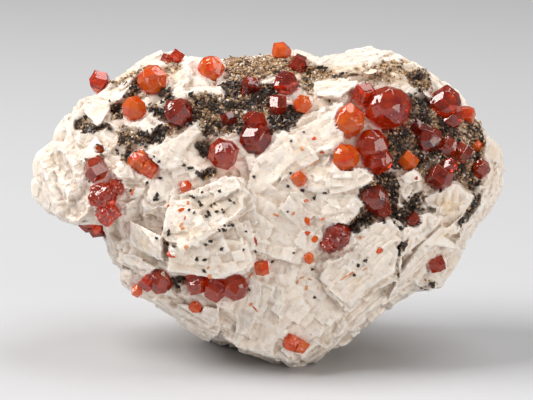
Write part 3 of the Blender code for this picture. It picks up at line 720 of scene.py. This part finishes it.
def terrace(points, normals, which, axes, flakes, scale, limit, tilt, salt):
    """Flattens the surface into cleavage flakes, each level with its own part of the face."""
    moved = points.copy()
    for number, (frame_axes, size) in enumerate(zip(axes, flakes)):
        mine = np.flatnonzero(which == number)
        if not len(mine):
            continue
        facing = np.abs(normals[mine] @ frame_axes.T)
        for k in range(3):
            chosen = mine[facing.argmax(axis=1) == k]
            if not len(chosen):
                continue
            out, along, across = frame_axes[k], frame_axes[(k + 1) % 3], frame_axes[(k + 2) % 3]
            length, width = (size[i] * scale * MM for i in (0, 1))
            s, b, c = points[chosen] @ out, points[chosen] @ along, points[chosen] @ across
            row = np.floor(c / width + 0.3 * np.sin(b / length * 1.3 + number))
            shift = scatter_value(row, row * 0 + number + salt)
            stretch = 0.6 + 0.9 * scatter_value(row, row * 0 + number + 50 + salt)
            column = np.floor(b / (length * stretch) + shift)
            layer = np.floor(s / (2.2 * length) + 0.5)
            _, cell = np.unique(np.stack([row, column, layer]), axis=1, return_inverse=True)
            cell = cell.ravel()
            count = np.bincount(cell)
            level, mid_b, mid_c = (np.bincount(cell, weights=part) / count for part in (s, b, c))
            chance = [scatter_value(np.arange(len(count)), np.full(len(count), number * 7 + i + salt))
                      for i in range(3)]
            level = level + (chance[0] - 0.5) * 0.16 * width
            plane = level[cell]
            plane += (chance[1][cell] - 0.5) * tilt * (b - mid_b[cell])
            plane += (chance[2][cell] - 0.5) * tilt * (c - mid_c[cell])
            push = np.clip(plane - s, -limit, limit)
            moved[chosen] = points[chosen] + push[:, None] * out
    return moved


def near_boxes(points, boxes, reach):
    near = np.zeros(len(points), bool)
    for low, high in boxes:
        near |= ((points > np.array(low) - reach) & (points < np.array(high) + reach)).all(axis=1)
    return np.flatnonzero(near)


def distance_to_garnets(points, garnets, reach):
    """Distance to the nearest garnet: below zero inside it, and 1 m where none is in reach."""
    tree, boxes = garnets
    distance = np.full(len(points), 1.0)
    for i in near_boxes(points, boxes, reach):
        point = Vector(points[i])
        hit, normal, _, far = tree.find_nearest(point, reach)
        if hit is not None:
            distance[i] = -far if (point - hit).dot(normal) < 0 else far
    return distance


def seat_garnets(points, garnets, close):
    """Clears the matrix out of the garnets, and closes the narrow gap round each of them."""
    tree, boxes = garnets
    seated = points.copy()
    middle = (frame_low + frame_high) / 2
    for i in near_boxes(points, boxes, close):
        point = Vector(points[i])
        hit, normal, _, far = tree.find_nearest(point)
        if (point - hit).dot(normal) > 0:
            if far < close:
                seated[i] = hit - normal * 0.06 * MM
            continue
        inward = (middle - point).normalized()
        left, _, _, _ = tree.ray_cast(point + inward * 0.001 * MM, inward)
        if left is not None:
            seated[i] = left - inward * 0.06 * MM
    return seated


def uncover(points, garnets, block_tree):
    """Takes down the points that a raised plate has put in front of a garnet in view."""
    tree, boxes = garnets
    cleared = points.copy()
    eye = VIEW_AIM - AHEAD * VIEW_DISTANCE
    for i in near_boxes(points, boxes, 2.2 * MM):
        sight = Vector(points[i]) - eye
        front, _, _, far = tree.ray_cast(eye, sight.normalized())
        if front is None or sight.length > far:
            continue
        wall, _, _, wall_far = block_tree.ray_cast(eye, sight.normalized())
        if wall is None or wall_far > far:
            cleared[i] = front + sight.normalized() * 0.1 * MM
    return cleared


def matrix_surface(garnets):
    """The block, broken along its cleavages, with its crust laid on as relief."""
    block = copied_mesh(frame["nodes"]["matrix"], "matrix_surface")
    tree = tree_of([block])
    centres, axes, sizes = lay_out_domains(tree)
    remesh(block, VOXEL * 1.5)
    smooth(block, 3)

    points, normals = points_of(block.data), normals_of(block.data)
    free = smoothstep(0.35 * MM, 1.6 * MM, distance_to_garnets(points, garnets, 2.2 * MM))
    cover, _ = crust_at(points, normals)
    which = nearest_domain(points, centres)
    stepped = terrace(points, normals, which, axes, sizes, 2.1, 1.2 * MM, 0.14, 11)
    free_here = (free * (1 - 0.8 * cover))[:, None]
    set_points(block.data, points + (stepped - points) * free_here)

    solids = scattered_flakes(block, centres, axes, sizes, tree, garnets)
    solids += [named_plate(corners, lift, tree) for corners, lift in PLATES.values()]
    add_solids(block, solids)
    remesh(block, VOXEL)
    keep_largest(block)

    points, normals = points_of(block.data), normals_of(block.data)
    distance = distance_to_garnets(points, garnets, 2.2 * MM)
    free = smoothstep(0.2 * MM, 1.0 * MM, distance)
    cover, _ = crust_at(points, normals)
    cracks = cracks_at(points, normals)
    which = nearest_domain(points, centres)
    stepped = terrace(points, normals, which, axes, sizes, 0.9, 0.16 * MM, 0.12, 23)
    points += (stepped - points) * (free * (1 - cover))[:, None]
    rough = 0.06 * MM * noise_at(points, 0.7 * MM) + 0.05 * MM * noise_at(points, 2.0 * MM, 3.1)
    grainy = 0.65 * MM * noise_at(points, 1.2 * MM, 9.1) + 0.6 * MM * noise_at(points, 2.6 * MM, 5.2)
    lift = (rough * (1 - cover) + grainy * cover) * np.clip(free, 0.25, 1)
    lift -= CRACK_DEPTH * cracks * (1 - 0.6 * cover) * free
    moved = uncover(points + normals * lift[:, None], garnets, tree)
    moved = seat_garnets(moved, garnets, 0.45 * MM)
    moved[:, 2] = np.maximum(moved[:, 2], 0)
    set_points(block.data, moved)
    decimate(block, MATRIX_TRIANGLES)
    store_cleavage(block.data, centres, axes)
    return block


def store_cleavage(mesh, centres, axes):
    """Each point's place along the cleavages of its own feldspar individual, in millimetres."""
    points = points_of(mesh)
    which = nearest_domain(points, centres)
    turns = np.array(axes)[which]
    places = np.einsum("nij,nj->ni", turns, points) / MM + which[:, None] * 7.3
    layer = mesh.attributes.new("cleavage", "FLOAT_VECTOR", "POINT")
    layer.data.foreach_set("vector", places.astype(np.float32).ravel())


def hollows_of(obj):
    """How far each point lies below the smoothed surface, in metres."""
    points, normals = points_of(obj.data), normals_of(obj.data)
    copy = bpy.data.objects.new("smoothed", obj.data.copy())
    bpy.context.scene.collection.objects.link(copy)
    smooth(copy, 12)
    below = np.einsum("ij,ij->i", points_of(copy.data) - points, normals)
    mesh = copy.data
    bpy.data.objects.remove(copy)
    bpy.data.meshes.remove(mesh)
    return below


def store_colours(mesh, name, channels):
    layer = mesh.color_attributes.new(name, "FLOAT_COLOR", "POINT")
    colours = np.stack(list(channels) + [np.ones(len(mesh.vertices))], axis=1)
    layer.data.foreach_set("color", colours.astype(np.float32).ravel())


def paint(obj):
    """Stores, for the material, where crust, glassy parts, stains and cracks are, and how far each point lies
    in a hollow or on a ridge, for painted shade in hollows and a painted highlight on ridges.
    """
    points, normals = points_of(obj.data), normals_of(obj.data)
    cover, black = crust_at(points, normals)
    u, v, _ = pixels_of(points)
    front = turned_to_viewer(normals)
    glassy = np.zeros(len(points))
    for oval in GLASSY.values():
        glassy = np.maximum(glassy, in_oval(u, v, oval) * front)
    stain = np.zeros(len(points))
    for mid_u, mid_v, half_u, half_v, strength in STAINS.values():
        here = strength * in_oval(u, v, (mid_u, mid_v, half_u * 1.4, half_v * 1.4)) * front
        stain = np.maximum(stain, here)
    behind = smoothstep(-0.1, 0.5, noise_at(points, 16 * MM, 31.0)) * (1 - front) * 0.6
    # Painted shade and highlight: above a half in hollows, where the feldspar is painted darker, below a half
    # on ridges, where it is painted lighter
    hollow_shade_and_ridge_light = np.clip(0.5 + hollows_of(obj) / (0.5 * MM), 0, 1)  # a half where it is level
    store_colours(obj.data, "cover", (cover, black * cover, glassy))
    store_colours(obj.data, "stain_crack_and_painted_light", (np.maximum(stain, behind), cracks_at(points, normals), hollow_shade_and_ridge_light))
    return cover, black


def new_material(name):
    material = bpy.data.materials.new(name)
    material.use_nodes = True
    return material, material.node_tree.nodes, material.node_tree.links


def value_noise(nodes, links, coordinates, scale, detail=2.0, roughness=0.5):
    made = nodes.new("ShaderNodeTexNoise")
    made.inputs["Scale"].default_value = scale
    made.inputs["Detail"].default_value = detail
    made.inputs["Roughness"].default_value = roughness
    links.new(coordinates, made.inputs["Vector"])
    return made.outputs["Fac"]


def ramp(nodes, links, value, low, high):
    """From 0 at low to 1 at high."""
    made = nodes.new("ShaderNodeMapRange")
    made.inputs["From Min"].default_value = low
    made.inputs["From Max"].default_value = high
    links.new(value, made.inputs["Value"])
    return made.outputs["Result"]


def mix_colour(nodes, links, share, first, second):
    made = nodes.new("ShaderNodeMix")
    made.data_type = "RGBA"
    links.new(share, made.inputs["Factor"])
    for socket, colour in ((made.inputs["A"], first), (made.inputs["B"], second)):
        if isinstance(colour, tuple):
            socket.default_value = (*colour, 1)
        else:
            links.new(colour, socket)
    return made.outputs["Result"]


def maths(nodes, links, operation, first, second):
    made = nodes.new("ShaderNodeMath")
    made.operation = operation
    for socket, value in zip(made.inputs, (first, second)):
        if isinstance(value, (int, float)):
            socket.default_value = value
        else:
            links.new(value, socket)
    return made.outputs["Value"]


def stored_colours(nodes, links, name):
    attribute = nodes.new("ShaderNodeVertexColor")
    attribute.layer_name = name
    split = nodes.new("ShaderNodeSeparateColor")
    links.new(attribute.outputs["Color"], split.inputs["Color"])
    return [split.outputs[i] for i in range(3)]


def cleavage_cells(nodes, links, place, stretch, scale):
    """A random colour for each block that cleaves apart."""
    mapping = nodes.new("ShaderNodeMapping")
    mapping.inputs["Scale"].default_value = stretch
    links.new(place, mapping.inputs["Vector"])
    cells = nodes.new("ShaderNodeTexVoronoi")
    cells.distance = "CHEBYCHEV"
    cells.inputs["Scale"].default_value = scale
    cells.inputs["Randomness"].default_value = 0.85
    links.new(mapping.outputs["Vector"], cells.inputs["Vector"])
    return cells.outputs["Color"]


def tilted(nodes, links, normal, chance, amount):
    """The normal, tilted a little its own way in each block."""
    centred = nodes.new("ShaderNodeVectorMath")
    centred.operation = "SUBTRACT"
    links.new(chance, centred.inputs[0])
    centred.inputs[1].default_value = (0.5, 0.5, 0.5)
    added = nodes.new("ShaderNodeVectorMath")
    added.operation = "MULTIPLY_ADD"
    links.new(centred.outputs["Vector"], added.inputs[0])
    added.inputs[1].default_value = (amount, amount, amount)
    links.new(normal, added.inputs[2])
    unit = nodes.new("ShaderNodeVectorMath")
    unit.operation = "NORMALIZE"
    links.new(added.outputs["Vector"], unit.inputs[0])
    return unit.outputs["Vector"]


def share_of(nodes, links, colour):
    split = nodes.new("ShaderNodeSeparateColor")
    links.new(colour, split.inputs["Color"])
    return split.outputs["Green"]


def feldspar_material():
    material, nodes, links = new_material("feldspar")
    shader = nodes["Principled BSDF"]
    where = nodes.new("ShaderNodeTexCoord").outputs["Object"]
    cover, black, glassy = stored_colours(nodes, links, "cover")
    # The third channel of the second layer drives painted shade in hollows and a painted highlight on ridges
    stain, crack, hollow_shade_and_ridge_light = stored_colours(nodes, links, "stain_crack_and_painted_light")

    def blend(share, strength, colour, other):
        share = maths(nodes, links, "MULTIPLY", share, strength)
        return mix_colour(nodes, links, share, colour, other)

    broad = value_noise(nodes, links, where, 60, 3)
    patches = value_noise(nodes, links, where, 170, 4, 0.6)
    fine = value_noise(nodes, links, where, 900, 3, 0.6)
    specks = value_noise(nodes, links, where, 1400, 1)
    sugar = value_noise(nodes, links, where, 2300, 3, 0.7)
    colour = mix_colour(nodes, links, ramp(nodes, links, broad, 0.40, 0.65),
                        (0.86, 0.73, 0.61), (0.90, 0.80, 0.69))
    place = nodes.new("ShaderNodeAttribute")
    place.attribute_name = "cleavage"
    place = place.outputs["Vector"]
    large = cleavage_cells(nodes, links, place, (0.6, 0.5, 0.9), 0.42)
    small = cleavage_cells(nodes, links, place, (0.9, 0.6, 1.1), 1.05)
    kind, small_kind = share_of(nodes, links, large), share_of(nodes, links, small)
    colour = blend(ramp(nodes, links, kind, 0.55, 0.75), 0.50, colour, (0.74, 0.67, 0.60))
    colour = blend(ramp(nodes, links, small_kind, 0.60, 0.80), 0.35, colour, (0.70, 0.62, 0.54))
    colour = blend(ramp(nodes, links, small_kind, 0.30, 0.10), 0.50, colour, (0.96, 0.91, 0.85))
    colour = blend(glassy, 0.60, colour, (0.70, 0.61, 0.53))
    colour = blend(ramp(nodes, links, patches, 0.45, 0.70), 0.5, colour, (0.95, 0.88, 0.80))
    colour = blend(ramp(nodes, links, sugar, 0.50, 0.70), 0.35, colour, (0.66, 0.52, 0.42))
    ragged_stain = maths(nodes, links, "MULTIPLY", stain, ramp(nodes, links, patches, 0.30, 0.58))
    colour = blend(ragged_stain, 0.85, colour, (0.80, 0.58, 0.32))
    # Painted shade: brown darkening in hollows; painted highlight: lighter colour on ridges
    colour = blend(ramp(nodes, links, hollow_shade_and_ridge_light, 0.54, 0.90), 0.58, colour, (0.50, 0.36, 0.25))
    colour = blend(ramp(nodes, links, hollow_shade_and_ridge_light, 0.46, 0.15), 0.50, colour, (0.97, 0.93, 0.88))
    colour = blend(ramp(nodes, links, specks, 0.70, 0.76), 0.45, colour, (0.25, 0.19, 0.15))
    tan = mix_colour(nodes, links, ramp(nodes, links, fine, 0.42, 0.60),
                     (0.10, 0.045, 0.020), (0.42, 0.25, 0.11))
    tan = blend(ramp(nodes, links, patches, 0.52, 0.66), 0.7, tan, (0.62, 0.43, 0.24))
    colour = mix_colour(nodes, links, cover, colour, tan)
    dark = mix_colour(nodes, links, ramp(nodes, links, fine, 0.42, 0.60),
                      (0.016, 0.011, 0.010), (0.16, 0.09, 0.055))
    colour = mix_colour(nodes, links, black, colour, dark)
    broken = maths(nodes, links, "MULTIPLY", crack, ramp(nodes, links, fine, 0.40, 0.56))
    colour = blend(broken, 0.85, colour, (0.08, 0.040, 0.024))
    links.new(colour, shader.inputs["Base Color"])

    gloss = nodes.new("ShaderNodeMapRange")
    gloss.inputs["To Min"].default_value = 0.22
    gloss.inputs["To Max"].default_value = 0.55
    links.new(small_kind, gloss.inputs["Value"])
    links.new(gloss.outputs["Result"], shader.inputs["Roughness"])
    shader.inputs["Subsurface Weight"].default_value = 0.15
    shader.inputs["Subsurface Radius"].default_value = (1.0, 0.65, 0.45)
    shader.inputs["Subsurface Scale"].default_value = 1.5 * MM

    bump = nodes.new("ShaderNodeBump")
    bump.inputs["Strength"].default_value = 0.6
    bump.inputs["Distance"].default_value = 0.3 * MM
    height = maths(nodes, links, "ADD", maths(nodes, links, "ADD", fine, patches),
                   maths(nodes, links, "MULTIPLY", sugar, 0.6))
    links.new(height, bump.inputs["Height"])
    normal = tilted(nodes, links, bump.outputs["Normal"], large, 0.38)
    normal = tilted(nodes, links, normal, small, 0.40)
    links.new(normal, shader.inputs["Normal"])
    return material


# Each garnet's deep and bright colour, mixed in patches that are partly its own colour zoning and partly
# painted inner glow and internal reflections, the colour that light keeps inside it, how fast the rest is
# taken out, per metre, and how much of the light goes in
GARNET_LOOKS = {
    "garnet_red": ((0.48, 0.006, 0.003), (1.00, 0.11, 0.010), (0.97, 0.40, 0.25), 150, 0.84),
    "garnet_orange": ((0.94, 0.040, 0.004), (1.00, 0.19, 0.018), (1.00, 0.50, 0.20), 120, 0.52),
    "garnet_dark": ((0.15, 0.004, 0.004), (0.86, 0.065, 0.012), (0.90, 0.25, 0.20), 150, 0.80),
    "garnet_pale": ((0.98, 0.24, 0.07), (1.00, 0.50, 0.26), (0.99, 0.60, 0.35), 120, 0.40),
}
ROUGH_GARNETS = ("garnet_waist_rough", "garnet_centre_rough", "garnet_keel", "garnet_left_group")


def growth_and_reflection_cells(nodes, links, place, scale):
    """A random colour for each step of growth on a crystal's faces, also used for painted internal
    reflections.
    """
    cells = nodes.new("ShaderNodeTexVoronoi")
    cells.inputs["Scale"].default_value = scale
    links.new(place, cells.inputs["Vector"])
    return cells.outputs["Color"]


def garnet_material(name):
    deep, bright_and_glow, kept, density, clear = GARNET_LOOKS[name]
    material, nodes, links = new_material(name)
    shader = nodes["Principled BSDF"]
    where = nodes.new("ShaderNodeTexCoord").outputs["Object"]
    zones_and_glow = value_noise(nodes, links, where, 300, 3, 0.6)
    veils_and_reflections = value_noise(nodes, links, where, 1100, 3, 0.7)
    large, small = growth_and_reflection_cells(nodes, links, where, 420), growth_and_reflection_cells(nodes, links, where, 1100)
    # Painted inner glow and internal reflections: brighter zones, cells and veils, mixed with the garnet's
    # own colour zoning
    share = maths(nodes, links, "MULTIPLY", ramp(nodes, links, zones_and_glow, 0.42, 0.56), 0.60)
    for part, strength in ((share_of(nodes, links, large), 0.40), (share_of(nodes, links, small), 0.25),
                           (ramp(nodes, links, veils_and_reflections, 0.52, 0.62), 0.40)):
        share = maths(nodes, links, "ADD", share, maths(nodes, links, "MULTIPLY", part, strength))
    colour = mix_colour(nodes, links, share, deep, bright_and_glow)
    links.new(colour, shader.inputs["Base Color"])
    shader.inputs["Roughness"].default_value = 0.04
    shader.inputs["IOR"].default_value = 1.80
    shader.inputs["Specular IOR Level"].default_value = 0.22
    shader.inputs["Transmission Weight"].default_value = clear
    ripple = value_noise(nodes, links, where, 900, 2)
    bump = nodes.new("ShaderNodeBump")
    bump.inputs["Strength"].default_value = 0.14
    bump.inputs["Distance"].default_value = 0.1 * MM
    links.new(ripple, bump.inputs["Height"])
    normal = tilted(nodes, links, bump.outputs["Normal"], large, 0.10)
    normal = tilted(nodes, links, normal, small, 0.05)
    links.new(normal, shader.inputs["Normal"])
    absorption = nodes.new("ShaderNodeVolumeAbsorption")
    absorption.inputs["Color"].default_value = (*kept, 1)
    absorption.inputs["Density"].default_value = density
    links.new(absorption.outputs["Volume"], nodes["Material Output"].inputs["Volume"])
    return material


def cut_edges_short(bm, longest):
    """Splits triangles until no edge is longer than this."""
    for _ in range(6):
        long_edges = [edge for edge in bm.edges if edge.calc_length() > longest]
        if not long_edges:
            return
        bmesh.ops.subdivide_edges(bm, edges=long_edges, cuts=1)
        bmesh.ops.triangulate(bm, faces=[face for face in bm.faces if len(face.verts) > 3])


def refine_garnet(node, material):
    """The crystal with the small faces along its edges and its uneven growth, for the solid."""
    piece = copied_mesh(frame["nodes"][node], f"{node}_crystal")
    bm = bmesh.new()
    bm.from_mesh(piece.data)
    bmesh.ops.remove_doubles(bm, verts=bm.verts, dist=0.002 * MM)
    bmesh.ops.dissolve_limit(bm, verts=bm.verts, edges=bm.edges, angle_limit=math.radians(1.5))
    low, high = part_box(node)
    size = min(high - low)
    few_faces = len(bm.faces) < 22
    convex = [edge for edge in bm.edges if edge.is_manifold and edge.is_convex
              and edge.calc_face_angle(0) > math.radians(12)]
    bmesh.ops.bevel(bm, geom=convex, offset=(0.085 if few_faces else 0.05) * size, segments=1,
                    affect="EDGES", clamp_overlap=True, profile=0.5)
    bmesh.ops.triangulate(bm, faces=bm.faces)
    cut_edges_short(bm, max(0.35 * MM, 0.075 * size))
    bm.normal_update()
    rough = node in ROUGH_GARNETS
    lump, ripple = (0.085, 0.050) if rough else (0.018, 0.006)
    seed = Vector((len(node) * 3.7, size / MM, 0))
    for vertex in bm.verts:
        place = vertex.co / size + seed
        steps = math.floor(noise(place * 2.3) * 7) / 7
        height = lump * noise(place * 3.1) + ripple * noise(place * 9.0) + 0.014 * steps
        vertex.co += vertex.normal * height * size
    bm.to_mesh(piece.data)
    bm.free()
    piece.data.set_sharp_from_angle(angle=math.radians(20 if rough else 14))
    piece.data.materials.append(material)
    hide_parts(node)
    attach(piece, "root")
    return piece


def grain_shapes(count, corners, seed):
    """A few angular grain shapes of unit size, each the hull of scattered points."""
    seed_set(seed)
    shapes = []
    for _ in range(count):
        bm = bmesh.new()
        for _ in range(corners):
            bm.verts.new(random_unit_vector())
        bmesh.ops.convex_hull(bm, input=bm.verts)
        bmesh.ops.delete(bm, geom=[vertex for vertex in bm.verts if not vertex.link_faces], context="VERTS")
        bmesh.ops.triangulate(bm, faces=bm.faces)
        bm.verts.index_update()
        points = np.array([tuple(vertex.co) for vertex in bm.verts])
        faces = np.array([[vertex.index for vertex in face.verts] for face in bm.faces])
        shapes.append((points, faces))
        bm.free()
    return shapes


def turned(chance):
    """Random rotations, one for each row of chance."""
    quaternion = chance / np.linalg.norm(chance, axis=1)[:, None]
    w, x, y, z = quaternion.T
    return np.stack([
        np.stack([1 - 2 * (y * y + z * z), 2 * (x * y - z * w), 2 * (x * z + y * w)], -1),
        np.stack([2 * (x * y + z * w), 1 - 2 * (x * x + z * z), 2 * (y * z - x * w)], -1),
        np.stack([2 * (x * z - y * w), 2 * (y * z + x * w), 1 - 2 * (x * x + y * y)], -1)], -2)


def mesh_piece(name, vertices, faces, material):
    mesh = bpy.data.meshes.new(name)
    mesh.from_pydata(vertices, [], faces)
    mesh.update()
    obj = bpy.data.objects.new(name, mesh)
    bpy.context.scene.collection.objects.link(obj)
    mesh.materials.append(material)
    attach(obj, "root")
    return obj


def grains(name, places, sizes, stretch, corners, seed, material):
    """Many small angular grains as one mesh, one at each place."""
    chance = np.random.default_rng(seed)
    shapes = grain_shapes(8, corners, seed)
    pick = chance.integers(0, len(shapes), len(places))
    scale = sizes[:, None] * (1 + (np.array(stretch) - 1) * chance.random((len(places), 3)))
    spin = turned(chance.normal(size=(len(places), 4)))
    vertices, faces, first = [], [], 0
    for number, (points, hull) in enumerate(shapes):
        mine = np.flatnonzero(pick == number)
        body = points[None] * scale[mine][:, None, :] / 2
        body = np.einsum("nij,nkj->nki", spin[mine], body) + places[mine][:, None, :]
        vertices.append(body.reshape(-1, 3))
        starts = first + np.arange(len(mine)) * len(points)
        faces.append((hull[None] + starts[:, None, None]).reshape(-1, 3))
        first += len(mine) * len(points)
    return mesh_piece(name, np.concatenate(vertices).tolist(), np.concatenate(faces).tolist(), material)


def grain_material(name, colour, other, roughness):
    material, nodes, links = new_material(name)
    shader = nodes["Principled BSDF"]
    where = nodes.new("ShaderNodeTexCoord").outputs["Object"]
    tone = value_noise(nodes, links, where, 1100, 2)
    links.new(mix_colour(nodes, links, ramp(nodes, links, tone, 0.38, 0.62), colour, other),
              shader.inputs["Base Color"])
    shader.inputs["Roughness"].default_value = roughness
    return material


def surface_samples(obj, weight, count, seed):
    """Points scattered over the mesh, denser where the weight of its points is higher."""
    mesh = obj.data
    mesh.calc_loop_triangles()
    corners = np.empty(len(mesh.loop_triangles) * 3, np.int32)
    mesh.loop_triangles.foreach_get("vertices", corners)
    corners = corners.reshape(-1, 3)
    points, normals = points_of(mesh), normals_of(mesh)
    a, b, c = (points[corners[:, i]] for i in range(3))
    area = np.linalg.norm(np.cross(b - a, c - a), axis=1) / 2
    share = area * weight[corners].mean(axis=1)
    chance = np.random.default_rng(seed)
    chosen = chance.choice(len(corners), count, p=share / share.sum())
    first, second = chance.random((2, count))
    over = first + second > 1
    first[over], second[over] = 1 - first[over], 1 - second[over]
    place = a[chosen] + first[:, None] * (b - a)[chosen] + second[:, None] * (c - a)[chosen]
    return place, normals[corners[chosen, 0]]


def crust_grains(matrix, cover, black, garnets):
    """Black, tan and pale grains, thickest where the crust is, and the lone black specks."""
    dark = grain_material("crust_black", (0.010, 0.007, 0.006), (0.055, 0.032, 0.022), 0.34)
    brown = grain_material("crust_brown", (0.06, 0.030, 0.018), (0.26, 0.15, 0.085), 0.4)
    tan = grain_material("crust_tan", (0.28, 0.14, 0.06), (0.62, 0.42, 0.22), 0.5)
    clear = grain_material("crust_clear", (0.66, 0.55, 0.44), (0.84, 0.78, 0.70), 0.3)
    solid = cover**1.5
    layers = (
        ("crust_black_grains", solid * black**2, 4600, (0.30, 1.6), 1.8, 8, 3, dark),
        ("crust_brown_grains", solid, 3200, (0.30, 1.2), 1.7, 9, 4, brown),
        ("crust_tan_grains", solid * (1.35 - black), 4200, (0.35, 1.1), 1.6, 10, 5, tan),
        ("crust_clear_grains", solid * (1.3 - black), 1900, (0.35, 1.0), 1.5, 10, 7, clear),
    )
    for name, weight, count, (small, large), stretch, corners, seed, material in layers:
        place, normal = surface_samples(matrix, weight, count, seed)
        keep = distance_to_garnets(place, garnets, 1 * MM) > 0.1 * MM
        place, normal = place[keep], normal[keep]
        chance = np.random.default_rng(seed + 1)
        sizes = (small + (large - small) * chance.random(len(place)) ** 2.2) * MM
        grains(name, place + normal * sizes[:, None] * 0.1, sizes, (stretch, 1, 0.8), corners,
               seed, material)
    speck_grains(matrix, dark)


def speck_grains(matrix, material):
    """The lone black specks: a few grains in each."""
    tree = tree_of([matrix])
    chance = random.Random(12)
    places, sizes = [], []

    def drop(u, v, size):
        hit, normal = first_seen(u, v, tree)
        places.append(tuple(hit + normal * size * 0.12 * MM))
        sizes.append(size * MM)

    for u, v, half in SPECKS:
        if chance.random() < 0.2:
            continue
        u, v = u + chance.gauss(0, 1.3), v + chance.gauss(0, 1.0)
        for _ in range(4 + round(6 * half)):
            drop(u + chance.gauss(0, half * 0.55), v + chance.gauss(0, half * 0.40),
                 chance.uniform(0.18, 0.65) + 0.05 * half)
    grains("crust_specks", np.array(places), np.array(sizes), (2.4, 1.1, 0.6), 8, 9, material)


def shards(matrix, looks):
    """The bits of garnet that lie flush in the feldspar, as flat angular pieces."""
    tree = tree_of([matrix])
    chance = random.Random(21)
    for look in ("garnet_red", "garnet_orange", "garnet_pale"):
        vertices, faces = [], []
        for u, v, length, width, slope, which in SHARDS.values():
            if which != look:
                continue
            _, normal = first_seen(u, v, tree)
            hits = [first_seen(u + across, v, tree)[0] for across in (-width / 3, 0, width / 3)]
            hit = sum(hits, Vector()) / 3
            axes = cleavage_axes(normal, slope)
            corners = []
            for i in range(7):
                angle = 2 * math.pi * (i + chance.uniform(-0.3, 0.3)) / 7
                reach = chance.uniform(0.75, 1.1) * PIXEL / 2
                corner = axes[1] * length * math.cos(angle) + axes[2] * width * math.sin(angle)
                corners.append(corner * reach)
            first = len(vertices)
            for height, share in ((0.14, 0.7), (0.02, 1.15), (-1.2, 0.8)):
                vertices += [tuple(hit + Vector(corner) * share + normal * height * MM) for corner in corners]
            for ring in (first, first + 7):
                for i in range(7):
                    j = (i + 1) % 7
                    faces.append((ring + i, ring + j, ring + j + 7, ring + i + 7))
            faces.append(tuple(first + i for i in reversed(range(7))))
            faces.append(tuple(first + 14 + i for i in range(7)))
        piece = mesh_piece(f"shards_{look[7:]}", vertices, faces, looks[look])
        bm = bmesh.new()
        bm.from_mesh(piece.data)
        bmesh.ops.recalc_face_normals(bm, faces=bm.faces)
        bm.to_mesh(piece.data)
        bm.free()


def area_light(name, place, aim, size, power, colour=(1, 1, 1)):
    light = bpy.data.lights.new(name, "AREA")
    light.shape = "RECTANGLE"
    light.size, light.size_y = size
    light.energy = power
    light.color = colour
    obj = bpy.data.objects.new(name, light)
    obj.location = place
    obj.rotation_mode = "QUATERNION"
    obj.rotation_quaternion = (Vector(aim) - Vector(place)).to_track_quat("-Z", "Y")
    obj.visible_camera = False
    bpy.context.scene.collection.objects.link(obj)
    return obj


def studio():
    """A pale floor, soft light from above and both sides, and the camera."""
    floor_mesh = bpy.data.meshes.new("floor")
    bm = bmesh.new()
    bmesh.ops.create_grid(bm, x_segments=1, y_segments=1, size=6)
    bm.to_mesh(floor_mesh)
    bm.free()
    floor = bpy.data.objects.new("floor", floor_mesh)
    bpy.context.scene.collection.objects.link(floor)
    material, nodes, _ = new_material("floor")
    nodes["Principled BSDF"].inputs["Base Color"].default_value = (0.55, 0.56, 0.58, 1)
    nodes["Principled BSDF"].inputs["Roughness"].default_value = 0.7
    floor_mesh.materials.append(material)

    world = bpy.data.worlds.new("studio")
    world.use_nodes = True
    world.node_tree.nodes["Background"].inputs["Color"].default_value = (0.87, 0.84, 0.81, 1)
    world.node_tree.nodes["Background"].inputs["Strength"].default_value = 0.29
    bpy.context.scene.world = world

    middle = VIEW_AIM
    area_light("key", (-0.68, -0.06, 0.78), middle, (0.65, 0.55), 11.8, (1, 0.97, 0.94))
    area_light("top", (0.35, 0.10, 0.95), middle, (0.8, 0.6), 5.2)
    area_light("fill", (0.75, -0.80, 0.20), middle, (0.9, 0.7), 6.2, (1, 0.95, 0.90))

    camera_data = bpy.data.cameras.new("camera")
    camera_data.sensor_width = 36
    camera_data.lens = camera_data.sensor_width * VIEW_DISTANCE / (PHOTO_WIDTH * PIXEL)
    camera = bpy.data.objects.new("camera", camera_data)
    camera.location = VIEW_AIM - AHEAD * VIEW_DISTANCE
    camera.rotation_mode = "QUATERNION"
    camera.rotation_quaternion = AHEAD.to_track_quat("-Z", "Y")
    camera_data.clip_start, camera_data.clip_end = 0.05, 20
    bpy.context.scene.collection.objects.link(camera)
    bpy.context.scene.camera = camera
    bpy.context.scene.view_settings.view_transform = "Standard"


def build():
    studio()
    slots = {part["node"]: part["material_slot"] for part in frame["record"]["subparts"]}
    garnet_nodes = [name for name in frame["nodes"] if name != "matrix"]
    garnets_tree = tree_of([frame["nodes"][name] for name in garnet_nodes])
    garnets = (garnets_tree, [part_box(name) for name in garnet_nodes])
    looks = {name: garnet_material(name) for name in GARNET_LOOKS}
    for name in garnet_nodes:
        refine_garnet(name, looks[slots[name]])

    matrix = matrix_surface(garnets)
    cover, black = paint(matrix)
    matrix.data.materials.append(feldspar_material())
    matrix.data.set_sharp_from_angle(angle=math.radians(28))
    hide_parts("matrix")
    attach(matrix, "root")
    crust_grains(matrix, cover, black, garnets)
    shards(matrix, looks)


build()
